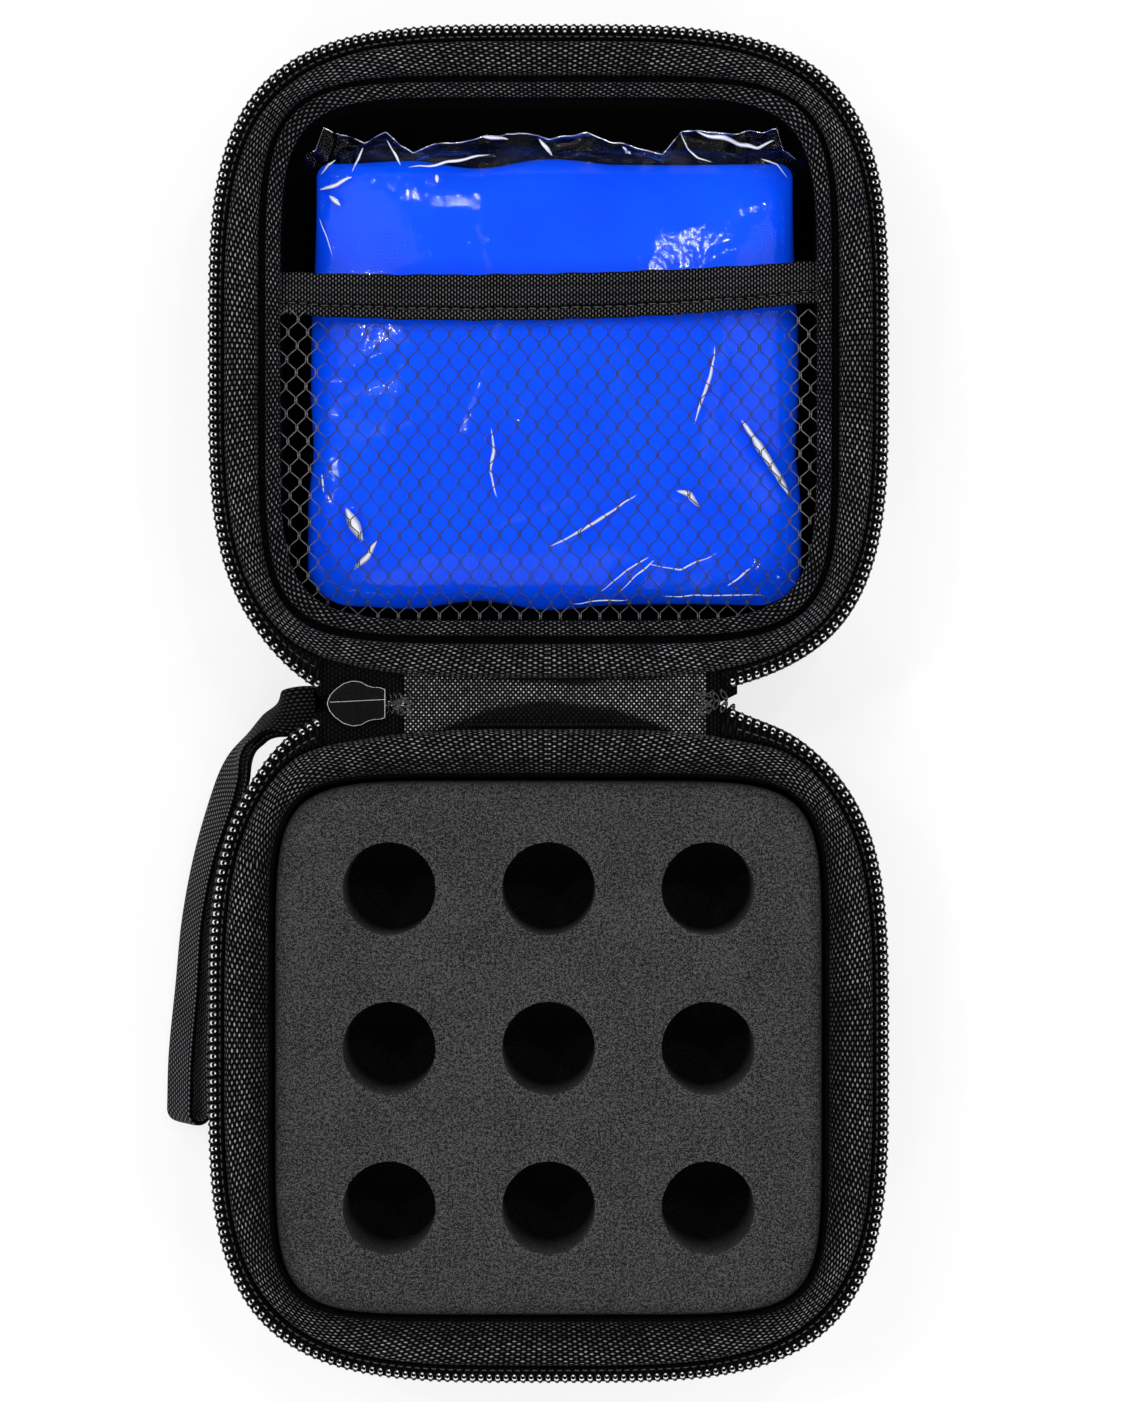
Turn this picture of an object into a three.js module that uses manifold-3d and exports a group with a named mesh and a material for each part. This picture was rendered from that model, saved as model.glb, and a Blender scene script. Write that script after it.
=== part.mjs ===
// Insulin cooling case: a soft zip-up box that lies open, its lid behind its base, both hollow side up.
// Millimetres, +Z up. The origin is the middle of the base's underside. +Y runs from the base to the lid,
// and +X is to the right of someone who has the lid at the far side.
import * as THREE from "three";
import { mergeVertices } from "three/addons/utils/BufferGeometryUtils.js";
import Module from "manifold-3d";

const wasm = await Module();
wasm.setup();

// Driving sizes of one half
const caseWidth = 124.4; // over the zip teeth, along X
const caseLength = 122; // one half over the zip teeth, along Y
const halfDepth = 32.5; // from a half's underside to the plane where the halves meet
const hingeSpace = 1.9; // from the teeth's tips to the hinge line
const outlinePower = 3.8; // exponent of the outline's superellipse: 2 is an ellipse, more is squarer
const fit = 0.3; // running gap between pieces that touch
const outlineSteps = 40; // points round an outline
const cornerCrowding = 0.45; // share by which those points crowd towards the corners

// The wall, from outside in: each layer starts where the one before it ends
const shell = { start: 3.2, wall: 2.4, draft: 1.2, fillet: 12 };
const insulation = { wall: 4.5 };
const lining = { wall: 0.8, fillet: 3, belowPlane: 3 };
const cornerSqueezeShare = 0.38; // the layers lie this much closer together at the corners

// The padded rim, which the zip tape is sewn to
const baseRoll = { start: 2.75, height: 7.8, belowPlane: 0.15 };
const lidRoll = { start: 2.75, width: 5, height: 7.8, belowPlane: 0.15 };
const lidLip = { width: 2.4, height: 2.7, belowPlane: 0.8 };

// The zip
const teeth = { width: 1.8, height: 1.3, belowPlane: 0.3 };
const tape = { thickness: 0.6, overlap: 0.9, seamStart: 2.1, seamBelowPlane: 6 };
const zipEnds = { left: 16.7, right: 32.5 }; // from the outline's sides to the ends of the rows

// The hinge: a strip of cloth that folds at both of its long edges
const hingeArm = 3.5; // from the hinge line to each fold, and from the meeting plane down to it
const hinge = { left: 36, right: 33.6, outerCloth: 0.8, innerCloth: 0.6 }; // left, right: from the sides
const binding = { thickness: 0.85, height: 3.9 };

// The foam block and its bores
const foam = { gap: 0.8, belowPlane: 1.5, padThickness: 2, padInset: 3.6 };
const bore = { diameter: 17, pitch: 29.1, rows: 3, sides: 20 };

// The lid's pocket and what it holds
const net = { strand: 1, thickness: 0.6, cellWidth: 7.34, rowPitch: 4.94, knot: 1.8 };
const elastic = { width: 8, thickness: 1, edge: 71.2, bow: 1.3 }; // edge: its lower side, from the hinge line
const pack = { sideSpace: 6.7, hingeSpace: 4.2, farSpace: 13.8, corner: 9, edge: 1.4 };
const film = { thickness: 0.4, beyondPack: 6.5, mouth: 1.6, beyondSide: 1.2 };

// The slider and its pull
// nose is counted from the case's side
const slider = { length: 10.8, width: 8.6, noseWidth: 4.4, plate: 0.8, nose: 21.7, postLength: 3 };
const crown = { length: 5.4, width: 2.6, height: 3.2, bar: 1 };
const pull = { length: 16, width: 5.6, thickness: 1.2, crossbar: 1, slot: 0.5 };
const chain = { width: 3.6, height: 1.3 };

// The wrist strap, a loop of webbing that is sewn under the zip tape
// root is counted from the case's side
const strap = { width: 8.7, thickness: 1.2, reach: 76, root: 19.2, offset: -1, belowPlane: 6.2 };
const strapGap = { root: 0.5, end: 3 }; // between its two runs
const anchor = { length: 3.4, thickness: 1, overlap: 1, pastRoot: 1 };

// Levels and places worked out from the sizes above
const hingeY = caseLength / 2 + hingeSpace;
const lidY = 2 * hingeY;
const insulationStart = shell.start + shell.wall + fit;
const liningStart = insulationStart + insulation.wall + fit;
const cavityStart = liningStart + lining.wall;
const insulationUnderside = shell.wall + fit;
const liningUnderside = insulationUnderside + insulation.wall + fit;
const cavityFloor = liningUnderside + lining.wall;
const wallTop = halfDepth - baseRoll.belowPlane - baseRoll.height - fit;
const lidFlangeTop = halfDepth - lidLip.belowPlane - lidLip.height - fit;
const netTop = lidFlangeTop;
const foldZ = halfDepth - hingeArm;
const meanHalf = (caseWidth + caseLength) / 4;
const leftSide = -caseWidth / 2;
const rightSide = caseWidth / 2;
const hingeLeft = leftSide + hinge.left;
const hingeRight = rightSide - hinge.right;
const sliderNose = leftSide + slider.nose;
const chainLeft = sliderNose + slider.postLength + 2 * fit;
const strapRoot = leftSide + strap.root;
const packWidth = caseWidth - 2 * (cavityStart + pack.sideSpace);
const packLength = caseLength - 2 * cavityStart - pack.hingeSpace - pack.farSpace;

// One point of a superellipse at a polar angle.
function onOutline(halfX, halfY, power, angle) {
  const c = Math.cos(angle);
  const s = Math.sin(angle);
  const r = (Math.abs(c / halfX) ** power + Math.abs(s / halfY) ** power) ** (-1 / power);
  return [r * c, r * s];
}

// The exponent of the outline that lies `inset` inside the teeth. Inside the shell the corners get squarer,
// because the layers are squeezed there.
function powerAt(inset) {
  if (inset <= shell.start) return outlinePower;
  const shellCorner = (meanHalf - shell.start) * 2 ** (-1 / outlinePower);
  const corner = shellCorner - cornerSqueezeShare * (inset - shell.start);
  return Math.LN2 / Math.log((meanHalf - inset) / corner);
}

// The shared polar angles of every outline, closer together at the corners.
function crowded(share) {
  const even = share * 2 * Math.PI;
  return even + (cornerCrowding * Math.sin(4 * even)) / 4;
}
const angles = Array.from({ length: outlineSteps }, (_, i) => crowded(i / outlineSteps));

// A ring of points at one height, `inset` inside the teeth, with the corners of the wall it belongs to.
function ring(inset, z, wallInset = inset, along = angles) {
  const power = powerAt(wallInset);
  return along.map((angle) => {
    const [x, y] = onOutline(caseWidth / 2 - inset, caseLength / 2 - inset, power, angle);
    return new THREE.Vector3(x, y, z);
  });
}

// A closed body through rings of equal count. The ends are joined to each other, or closed by fans.
function loft(rings, endsJoined = false) {
  const count = rings[0].length;
  const points = rings.flat();
  const faces = [];
  const bands = endsJoined ? rings.length : rings.length - 1;
  for (let i = 0; i < bands; i++) {
    const next = (i + 1) % rings.length;
    for (let j = 0; j < count; j++) {
      const k = (j + 1) % count;
      const [a, b, c, d] = [i * count + j, i * count + k, next * count + k, next * count + j];
      faces.push(a, b, c, a, c, d);
    }
  }
  if (!endsJoined) {
    for (const [row, forward] of [[0, false], [rings.length - 1, true]]) {
      const middle = rings[row].reduce((sum, p) => sum.add(p), new THREE.Vector3());
      const hub = points.push(middle.divideScalar(count)) - 1;
      for (let j = 0; j < count; j++) {
        const [a, b] = [row * count + j, row * count + ((j + 1) % count)];
        faces.push(...(forward ? [hub, a, b] : [hub, b, a]));
      }
    }
  }
  return facingOut(points, faces);
}

// A geometry of the faces, turned round where they enclose a negative volume.
function facingOut(points, faces) {
  let volume = 0;
  for (let i = 0; i < faces.length; i += 3) {
    const [a, b, c] = [points[faces[i]], points[faces[i + 1]], points[faces[i + 2]]];
    volume += a.dot(new THREE.Vector3().crossVectors(b, c));
  }
  if (volume < 0) {
    for (let i = 0; i < faces.length; i += 3) {
      [faces[i + 1], faces[i + 2]] = [faces[i + 2], faces[i + 1]];
    }
  }
  const geometry = new THREE.BufferGeometry().setFromPoints(points).setIndex(faces);
  geometry.computeVertexNormals();
  return geometry;
}

// The points of a quarter arc from one height and inset to the next, as [inset, z] pairs.
function fillet(wallInset, underside, radius, steps) {
  return Array.from({ length: steps + 1 }, (_, i) => {
    const turn = ((i / steps) * Math.PI) / 2;
    return [wallInset + radius * (1 - Math.sin(turn)), underside + radius * (1 - Math.cos(turn))];
  });
}

// A bowl-shaped layer: its underside, its outer wall, its edge and its floor.
function bowl({ start, wall, underside, floor, top, outer, inner, flange }) {
  const inside = start + wall;
  const outerRings = fillet(start + outer.draft, underside, outer.fillet, outer.steps).map(([inset, z]) =>
    ring(inset, z, start),
  );
  const innerRings = fillet(inside + inner.draft, floor, inner.fillet, inner.steps)
    .reverse()
    .map(([inset, z]) => ring(inset, z, inside));
  const edge = flange
    ? [
        ring(start, top - flange.thickness),
        ring(flange.start, top - flange.thickness),
        ring(flange.start, top),
      ]
    : [ring(start, top)];
  return loft([...outerRings, ...edge, ring(inside, top), ...innerRings]);
}

// A body that follows the outline all the way round, from a section of [inset, z] points.
function hoop(section) {
  return loft(
    section.map(([inset, z]) => ring(inset, z)),
    true,
  );
}

// The angles of the zip's path, from its left end round the side away from the hinge to its right end.
function zipAngles() {
  const angleAt = (x) => {
    const halfX = caseWidth / 2;
    const y = (caseLength / 2) * (1 - Math.abs(x / halfX) ** outlinePower) ** (1 / outlinePower);
    return Math.atan2(y, x);
  };
  const from = angleAt(leftSide + zipEnds.left);
  const to = angleAt(rightSide - zipEnds.right) + 2 * Math.PI;
  const between = [...angles, ...angles.map((a) => a + 2 * Math.PI)].filter((a) => a > from && a < to);
  return [from, ...between, to];
}

// A body that follows the zip's path, from a section of [inset, z] points.
function zipRun(section) {
  const runs = section.map(([inset, z]) => ring(inset, z, inset, zipAngles()));
  return loft(runs[0].map((_, i) => runs.map((run) => run[i])));
}

// A rounded section for a padded edge, `sides` points round, as [inset, z] pairs.
function roundedSection(start, width, bottom, height, power, sides) {
  return Array.from({ length: sides }, (_, i) => {
    const angle = ((i + 1 / 2) / sides) * 2 * Math.PI;
    const [u, v] = onOutline(width / 2, height / 2, power, angle);
    return [start + width / 2 + u, bottom + height / 2 + v];
  });
}

// Hard-shell layers of one half
function shellBody() {
  const outer = { draft: shell.draft, fillet: shell.fillet, steps: 4 };
  const inner = { draft: shell.draft, fillet: shell.fillet - shell.wall, steps: 3 };
  return bowl({ start: shell.start, wall: shell.wall, underside: 0, floor: shell.wall, top: wallTop, outer, inner });
}

function insulationBody() {
  const outer = { draft: shell.draft, fillet: shell.fillet - shell.wall - fit, steps: 3 };
  const inner = { draft: 0, fillet: lining.fillet + lining.wall + fit, steps: 2 };
  const floor = insulationUnderside + insulation.wall;
  const { wall } = insulation;
  return bowl({ start: insulationStart, wall, underside: insulationUnderside, floor, top: wallTop, outer, inner });
}

function liningBody(top, flange) {
  const outer = { draft: 0, fillet: lining.fillet + lining.wall, steps: 2 };
  const inner = { draft: 0, fillet: lining.fillet, steps: 2 };
  const { wall } = lining;
  const floor = cavityFloor;
  return bowl({ start: liningStart, wall, underside: liningUnderside, floor, top, outer, inner, flange });
}

// Padded rims
const rollPower = 2.8; // exponent of a padded edge's section
const rollSides = 8;

function baseRollBody() {
  const width = liningStart - fit - baseRoll.start;
  const bottom = halfDepth - baseRoll.belowPlane - baseRoll.height;
  return hoop(roundedSection(baseRoll.start, width, bottom, baseRoll.height, rollPower, rollSides));
}

function lidRollBody() {
  const bottom = halfDepth - lidRoll.belowPlane - lidRoll.height;
  return hoop(roundedSection(lidRoll.start, lidRoll.width, bottom, lidRoll.height, rollPower, rollSides));
}

function lidLipBody() {
  const bottom = halfDepth - lidLip.belowPlane - lidLip.height;
  const start = cavityStart + lidLip.width / 3 - lidLip.width;
  return hoop(roundedSection(start, lidLip.width, bottom, lidLip.height, rollPower, 6));
}

// The zip's two parts on one half
function teethBody() {
  const top = halfDepth - teeth.belowPlane;
  const bottom = top - teeth.height;
  return zipRun([[0, bottom], [teeth.width, bottom], [teeth.width, top], [0, top]]);
}

function tapeBody() {
  const high = halfDepth - teeth.belowPlane - teeth.height - fit;
  const low = halfDepth - tape.seamBelowPlane;
  const out = tape.overlap;
  const seam = tape.seamStart;
  return zipRun([
    [out, high],
    [out, high - tape.thickness],
    [seam - tape.thickness, low],
    [seam, low],
    [seam, high - tape.thickness],
    [seam, high],
  ]);
}

// A box between two corners.
function block([x0, y0, z0], [x1, y1, z1]) {
  const geometry = new THREE.BoxGeometry(x1 - x0, y1 - y0, z1 - z0);
  return geometry.translate((x0 + x1) / 2, (y0 + y1) / 2, (z0 + z1) / 2);
}

// The foam block with its bores, in the base's frame
function boreCentres() {
  const places = Array.from({ length: bore.rows }, (_, i) => (i - (bore.rows - 1) / 2) * bore.pitch);
  return places.flatMap((y) => places.map((x) => [x, y]));
}

function foamShape() {
  const outline = ring(cavityStart + foam.gap, 0).map((p) => new THREE.Vector2(p.x, p.y));
  return new THREE.Shape(outline);
}

function foamBody() {
  const shape = foamShape();
  for (const [x, y] of boreCentres()) {
    const edge = Array.from({ length: bore.sides }, (_, i) => {
      const angle = (-i / bore.sides) * 2 * Math.PI;
      return new THREE.Vector2(Math.cos(angle), Math.sin(angle)).multiplyScalar(bore.diameter / 2);
    });
    shape.holes.push(new THREE.Path(edge.map((p) => p.add(new THREE.Vector2(x, y)))));
  }
  const bottom = cavityFloor + fit + foam.padThickness + fit;
  const depth = halfDepth - foam.belowPlane - bottom;
  const geometry = new THREE.ExtrudeGeometry(shape, { depth, bevelEnabled: false });
  return geometry.translate(0, 0, bottom);
}

function padBody() {
  const bottom = cavityFloor + fit;
  const inset = cavityStart + foam.padInset;
  return loft([bottom, bottom + foam.padThickness].map((z) => ring(inset, z, cavityStart)));
}

// The pocket's net, in the lid's frame, where the hinge is at -Y
const pocketTop = elastic.edge - hingeY;

function insidePocket(x, y, margin) {
  const inset = cavityStart + fit + margin;
  const power = powerAt(cavityStart + fit);
  const across = Math.abs(x / (caseWidth / 2 - inset)) ** power;
  const reach = across + Math.abs(y / (caseLength / 2 - inset)) ** power;
  return reach < 1 && y < pocketTop - fit - margin - elastic.bow;
}

function netCell(x, y) {
  const halfWidth = (net.cellWidth - net.strand) / 2;
  const halfKnot = net.knot / 2;
  const halfHeight = net.rowPitch - net.knot / 2 - net.strand / 2;
  return [
    [x + halfWidth, y - halfKnot],
    [x + halfWidth, y + halfKnot],
    [x, y + halfHeight],
    [x - halfWidth, y + halfKnot],
    [x - halfWidth, y - halfKnot],
    [x, y - halfHeight],
  ];
}

// The elastic sags towards the hinge in its middle, and the net's top edge follows it.
function bowAt(x) {
  return elastic.bow * (1 - (x / (caseWidth / 2 - cavityStart)) ** 2);
}

function netBody() {
  const inset = cavityStart + fit;
  const edge = ring(inset, 0).filter((p) => p.y < pocketTop - fit - elastic.bow - net.strand);
  const start = edge.findIndex((p, i) => p.y < 0 && p.x < 0 && edge[(i + 1) % edge.length].y < 0);
  const turned = [...edge.slice(start), ...edge.slice(0, start)];
  turned.sort((a, b) => polarFromTop(a) - polarFromTop(b));
  const topShare = Math.abs(pocketTop / (caseLength / 2 - inset));
  const halfX = (caseWidth / 2 - inset) * (1 - topShare ** powerAt(inset));
  const topShares = [1, 0.6, 0.2, -0.2, -0.6, -1];
  const top = topShares.map((share) => {
    const x = share * halfX;
    return new THREE.Vector2(x, pocketTop - fit - bowAt(x));
  });
  const shape = new THREE.Shape([...turned.map((p) => new THREE.Vector2(p.x, p.y)), ...top]);
  const columns = Math.ceil(caseWidth / net.cellWidth / 2);
  const rows = Math.ceil(caseLength / net.rowPitch / 2);
  for (let row = -rows; row <= rows; row++) {
    for (let column = -columns; column <= columns; column++) {
      const x = (column + (row % 2 === 0 ? 0 : 1 / 2)) * net.cellWidth;
      const cell = netCell(x, row * net.rowPitch);
      if (cell.every(([u, v]) => insidePocket(u, v, net.strand))) {
        shape.holes.push(new THREE.Path(cell.map(([u, v]) => new THREE.Vector2(u, v))));
      }
    }
  }
  const geometry = new THREE.ExtrudeGeometry(shape, { depth: net.thickness, bevelEnabled: false });
  return geometry.translate(0, 0, netTop - net.thickness);
}

// The polar angle of a point from the +Y axis round by -X: the net's edge starts and ends at its top.
function polarFromTop(p) {
  return (Math.atan2(p.y, p.x) - Math.PI / 2 + 2 * Math.PI) % (2 * Math.PI);
}

function elasticBody() {
  const half = caseWidth / 2 - cavityStart - fit;
  const shares = [-1, -0.75, -0.5, -0.25, 0, 0.25, 0.5, 0.75, 1];
  return loft(
    shares.map((share) => {
      const x = share * half;
      const low = pocketTop - bowAt(x);
      const high = low + elastic.width;
      return [
        new THREE.Vector3(x, low, netTop - elastic.thickness),
        new THREE.Vector3(x, high, netTop - elastic.thickness),
        new THREE.Vector3(x, high, netTop),
        new THREE.Vector3(x, low, netTop),
      ];
    }),
  );
}

// The gel pack and its film sleeve, in the lid's frame: flat rings that stand across Y
const packSides = 20;
const packPower = 2.3;
const sleeveTop = netTop - elastic.thickness - fit;
const sleeveHeight = sleeveTop - cavityFloor - fit;
const packHeight = sleeveHeight - 2 * (film.thickness + fit);
const packMiddle = cavityFloor + fit + sleeveHeight / 2;
const packStartY = cavityStart + pack.hingeSpace - caseLength / 2;

function flatRing(y, width, height) {
  return Array.from({ length: packSides }, (_, i) => {
    const angle = (i / packSides) * 2 * Math.PI;
    const [across, up] = [Math.cos(angle), Math.sin(angle)].map(
      (share) => Math.sign(share) * Math.abs(share) ** (2 / packPower),
    );
    return new THREE.Vector3((across * width) / 2, y, packMiddle + (up * height) / 2);
  });
}

// The width and thickness of the filled pack at a share of its length, from -1 to 1.
function packSection(share) {
  const fromEnd = (1 - Math.abs(share)) * (packLength / 2);
  const round = Math.max(0, 1 - fromEnd / pack.corner);
  const width = packWidth - 2 * pack.corner * (1 - Math.sqrt(1 - round ** 2));
  const height = pack.edge + (packHeight - pack.edge) * (1 - Math.abs(share) ** 3) ** (2 / 3);
  return [width, height];
}
const packShares = [-1, -0.96, -0.86, -0.62, -0.3, 0, 0.3, 0.62, 0.86, 0.96, 1];

function packBody() {
  const rings = packShares.map((share) => {
    const [width, height] = packSection(share);
    return flatRing(packStartY + ((share + 1) * packLength) / 2, width, height);
  });
  return loft(rings);
}

function sleeveBody() {
  const space = fit;
  const around = (share, grow) => {
    const [width, height] = packSection(share);
    const y = packStartY + ((share + 1) * packLength) / 2;
    return flatRing(y, width + 2 * (grow + film.beyondSide), height + 2 * grow);
  };
  const mouthY = packStartY + packLength + film.beyondPack;
  const [endWidth] = packSection(packShares[2]);
  const mouth = (grow) => flatRing(mouthY, endWidth + 2 * grow, film.mouth + 2 * grow);
  const kept = packShares.slice(0, -2);
  const outside = kept.map((share) => around(share, space + film.thickness));
  const inside = kept.map((share) => around(share, space)).reverse();
  const outsideEnd = outside[0].map((p) => p.clone().setY(packStartY - space - film.thickness));
  const insideEnd = inside[inside.length - 1].map((p) => p.clone().setY(packStartY - space));
  const outer = [outsideEnd, ...outside.slice(1), mouth(film.thickness)];
  return loft([...outer, mouth(0), ...inside.slice(0, -1), insideEnd]);
}

// The hinge cloths and the end of the closed zip, which ride together between the two folds
function hingeClothBody(low, thickness) {
  const reach = hingeArm - fit;
  return block([hingeLeft, hingeY - reach, low], [hingeRight, hingeY + reach, low + thickness]);
}

function chainBody() {
  const half = chain.width / 2;
  const low = foldZ - chain.height / 2;
  return block([chainLeft, hingeY - half, low], [hingeLeft - fit, hingeY + half, low + chain.height]);
}

function bindingBody() {
  const outside = hingeY - hingeArm;
  const top = foldZ - fit / 3;
  return block([hingeLeft, outside - binding.thickness, top - binding.height], [hingeRight, outside, top]);
}

// A three.js geometry as a solid that can be joined or cut.
function solid(geometry) {
  const plain = geometry.clone();
  plain.deleteAttribute("normal");
  plain.deleteAttribute("uv");
  const merged = mergeVertices(plain);
  const vertProperties = merged.attributes.position.array;
  return new wasm.Manifold(
    new wasm.Mesh({ numProp: 3, vertProperties, triVerts: new Uint32Array(merged.index.array) }),
  );
}

function geometryOf(made) {
  const mesh = made.getMesh();
  const geometry = new THREE.BufferGeometry()
    .setAttribute("position", new THREE.BufferAttribute(mesh.vertProperties, 3))
    .setIndex(new THREE.BufferAttribute(mesh.triVerts, 1));
  geometry.computeVertexNormals();
  return geometry;
}

// The slider's two plates, its post between them and the crown that holds the pull
function sliderShape() {
  const { length, width, noseWidth } = slider;
  const outlineShares = [
    [0, -0.5],
    [0, 0.5],
    [0.12, 0.85],
    [0.36, 1],
    [0.58, 0.96],
    [0.78, 0.72],
    [1, 0.72],
  ];
  const side = outlineShares.map(([along, across], i) => {
    const half = i < 2 ? across * noseWidth : (across * width) / 2;
    return new THREE.Vector2(along * length, half);
  });
  const mirrored = side.slice(2).reverse().map((p) => new THREE.Vector2(p.x, -p.y));
  return new THREE.Shape([...side.slice(1), ...mirrored, side[0]]);
}

const channel = chain.height / 2 + fit; // half the clear height between the plates
const pullX = slider.length / 2; // the pull hangs at the slider's middle

function sliderBody() {
  const plate = new THREE.ExtrudeGeometry(sliderShape(), { depth: slider.plate, bevelEnabled: false });
  const upper = solid(plate.clone().translate(0, 0, channel));
  const lower = solid(plate.clone().translate(0, 0, -channel - slider.plate));
  const halfPost = slider.noseWidth / 4;
  const sunk = slider.plate / 2;
  const post = solid(block([sunk, -halfPost, -channel - sunk], [slider.postLength, halfPost, channel + sunk]));
  const underside = -channel - slider.plate;
  const halfCrown = crown.length / 2;
  const arch = solid(
    block([pullX - halfCrown, -crown.width / 2, underside - crown.height], [
      pullX + halfCrown,
      crown.width / 2,
      underside + sunk,
    ]),
  );
  const eye = solid(
    block([pullX - halfCrown + crown.bar, -crown.width, underside - crown.height + crown.bar], [
      pullX + halfCrown - crown.bar,
      crown.width,
      underside,
    ]),
  );
  return geometryOf(upper.add(lower).add(post).add(arch).subtract(eye));
}

// The pull, hanging in the crown: its crossbar turns under the plate and its eye goes round the crown's bar
const pullZ = -channel - slider.plate - (crown.height - crown.bar) / 2; // height of the crossbar's middle

function pullBody() {
  const half = pull.width / 2;
  const eyeHalf = crown.width / 2 + pull.slot;
  const top = pull.crossbar / 2;
  const eyeLength = Math.hypot(crown.length / 2, (crown.height + crown.bar) / 2) + 2 * fit;
  const shape = new THREE.Shape([
    new THREE.Vector2(-half, top),
    new THREE.Vector2(-half, -pull.length + half),
    new THREE.Vector2(-half * Math.SQRT1_2, -pull.length + half * (1 - Math.SQRT1_2)),
    new THREE.Vector2(0, -pull.length),
    new THREE.Vector2(half * Math.SQRT1_2, -pull.length + half * (1 - Math.SQRT1_2)),
    new THREE.Vector2(half, -pull.length + half),
    new THREE.Vector2(half, top),
  ]);
  const eye = [
    [-eyeHalf, -top],
    [eyeHalf, -top],
    [eyeHalf, -eyeLength],
    [-eyeHalf, -eyeLength],
  ];
  shape.holes.push(new THREE.Path(eye.map(([u, v]) => new THREE.Vector2(u, v))));
  const geometry = new THREE.ExtrudeGeometry(shape, { depth: pull.thickness, bevelEnabled: false });
  return geometry.translate(0, 0, -pull.thickness / 2).rotateX(Math.PI / 2).rotateZ(Math.PI / 2);
}

// The strap's middle line: [X, Y, Z] as shares of its reach from the root, and how far the webbing stands on edge
const strapRouteShares = [
  [0, 0, 0, 0],
  [-0.045, 0, 0, 0],
  [-0.092, -0.02, -0.03, 0.1],
  [-0.138, -0.066, -0.06, 0.26],
  [-0.178, -0.138, -0.095, 0.44],
  [-0.217, -0.237, -0.135, 0.58],
  [-0.25, -0.368, -0.175, 0.66],
  [-0.276, -0.526, -0.21, 0.7],
  [-0.293, -0.697, -0.238, 0.7],
  [-0.299, -0.855, -0.252, 0.7],
  [-0.295, -0.947, -0.255, 0.7],
];
const strapTurnSteps = 5;

function strapBody() {
  const up = new THREE.Vector3(0, 0, 1);
  const route = strapRouteShares.map(
    ([x, y, z]) =>
      new THREE.Vector3(
        strapRoot + x * strap.reach,
        hingeY + strap.offset + y * strap.reach,
        halfDepth - strap.belowPlane - strap.thickness - strapGap.root / 2 + z * strap.reach,
      ),
  );
  const frames = route.map((point, i) => {
    const before = route[Math.max(0, i - 1)];
    const after = route[Math.min(route.length - 1, i + 1)];
    const forward = after.clone().sub(before).normalize();
    const flat = new THREE.Vector3().crossVectors(up, forward).normalize();
    const lift = (strapRouteShares[i][3] * Math.PI) / 2;
    const across = flat.applyAxisAngle(forward, lift);
    return { point, forward, across, normal: new THREE.Vector3().crossVectors(forward, across) };
  });
  const ribbon = (middle, across, normal) =>
    [[-1, -1], [1, -1], [1, 1], [-1, 1]].map(([w, t]) =>
      middle
        .clone()
        .addScaledVector(across, (w * strap.width) / 2)
        .addScaledVector(normal, (t * strap.thickness) / 2),
    );
  const offset = (i) => {
    const gap = strapGap.root + ((strapGap.end - strapGap.root) * i) / (frames.length - 1);
    return (gap + strap.thickness) / 2;
  };
  const run = (sign) =>
    frames.map(({ point, across, normal }, i) =>
      ribbon(point.clone().addScaledVector(normal, sign * offset(i)), across, normal.clone().multiplyScalar(sign)),
    );
  const last = frames[frames.length - 1];
  const turn = Array.from({ length: strapTurnSteps }, (_, i) => {
    const angle = ((i + 1) / (strapTurnSteps + 1)) * Math.PI;
    const out = last.normal.clone().multiplyScalar(Math.cos(angle)).addScaledVector(last.forward, Math.sin(angle));
    const middle = last.point.clone().addScaledVector(out, offset(frames.length - 1));
    return ribbon(middle, last.across, out);
  });
  return loft([...run(1), ...turn, ...run(-1).reverse()]);
}

// The cloth tab under the strap's root, sewn to the base's rim
function anchorBody() {
  const top = halfDepth - strap.belowPlane - 2 * strap.thickness - strapGap.root - fit;
  const right = strapRoot + anchor.pastRoot;
  const rimY = onOutline(
    caseWidth / 2 - baseRoll.start,
    caseLength / 2 - baseRoll.start,
    outlinePower,
    Math.atan2(hingeY, right - anchor.length / 2),
  )[1];
  const near = rimY - baseRoll.start / 2;
  return block([right - anchor.length, near, top - anchor.thickness], [right, hingeY + anchor.overlap, top]);
}

// Finishes
function finish(color, roughness, metalness = 0) {
  return new THREE.MeshStandardMaterial({ color, roughness, metalness });
}

// Adds a named mesh to a group.
function add(group, name, geometry, material, y = 0) {
  const mesh = new THREE.Mesh(geometry, material);
  mesh.name = name;
  mesh.position.y = y;
  group.add(mesh);
  return mesh;
}

const cooler = new THREE.Group();

// The lid's copy of a geometry made for the base, whose hinge is at +Y.
function mirrored(geometry) {
  const points = Array.from({ length: geometry.attributes.position.count }, (_, i) =>
    new THREE.Vector3().fromBufferAttribute(geometry.attributes.position, i).multiply(new THREE.Vector3(1, -1, 1)),
  );
  const faces = geometry.index ? [...geometry.index.array] : points.map((_, i) => i);
  return facingOut(points, faces);
}

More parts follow.
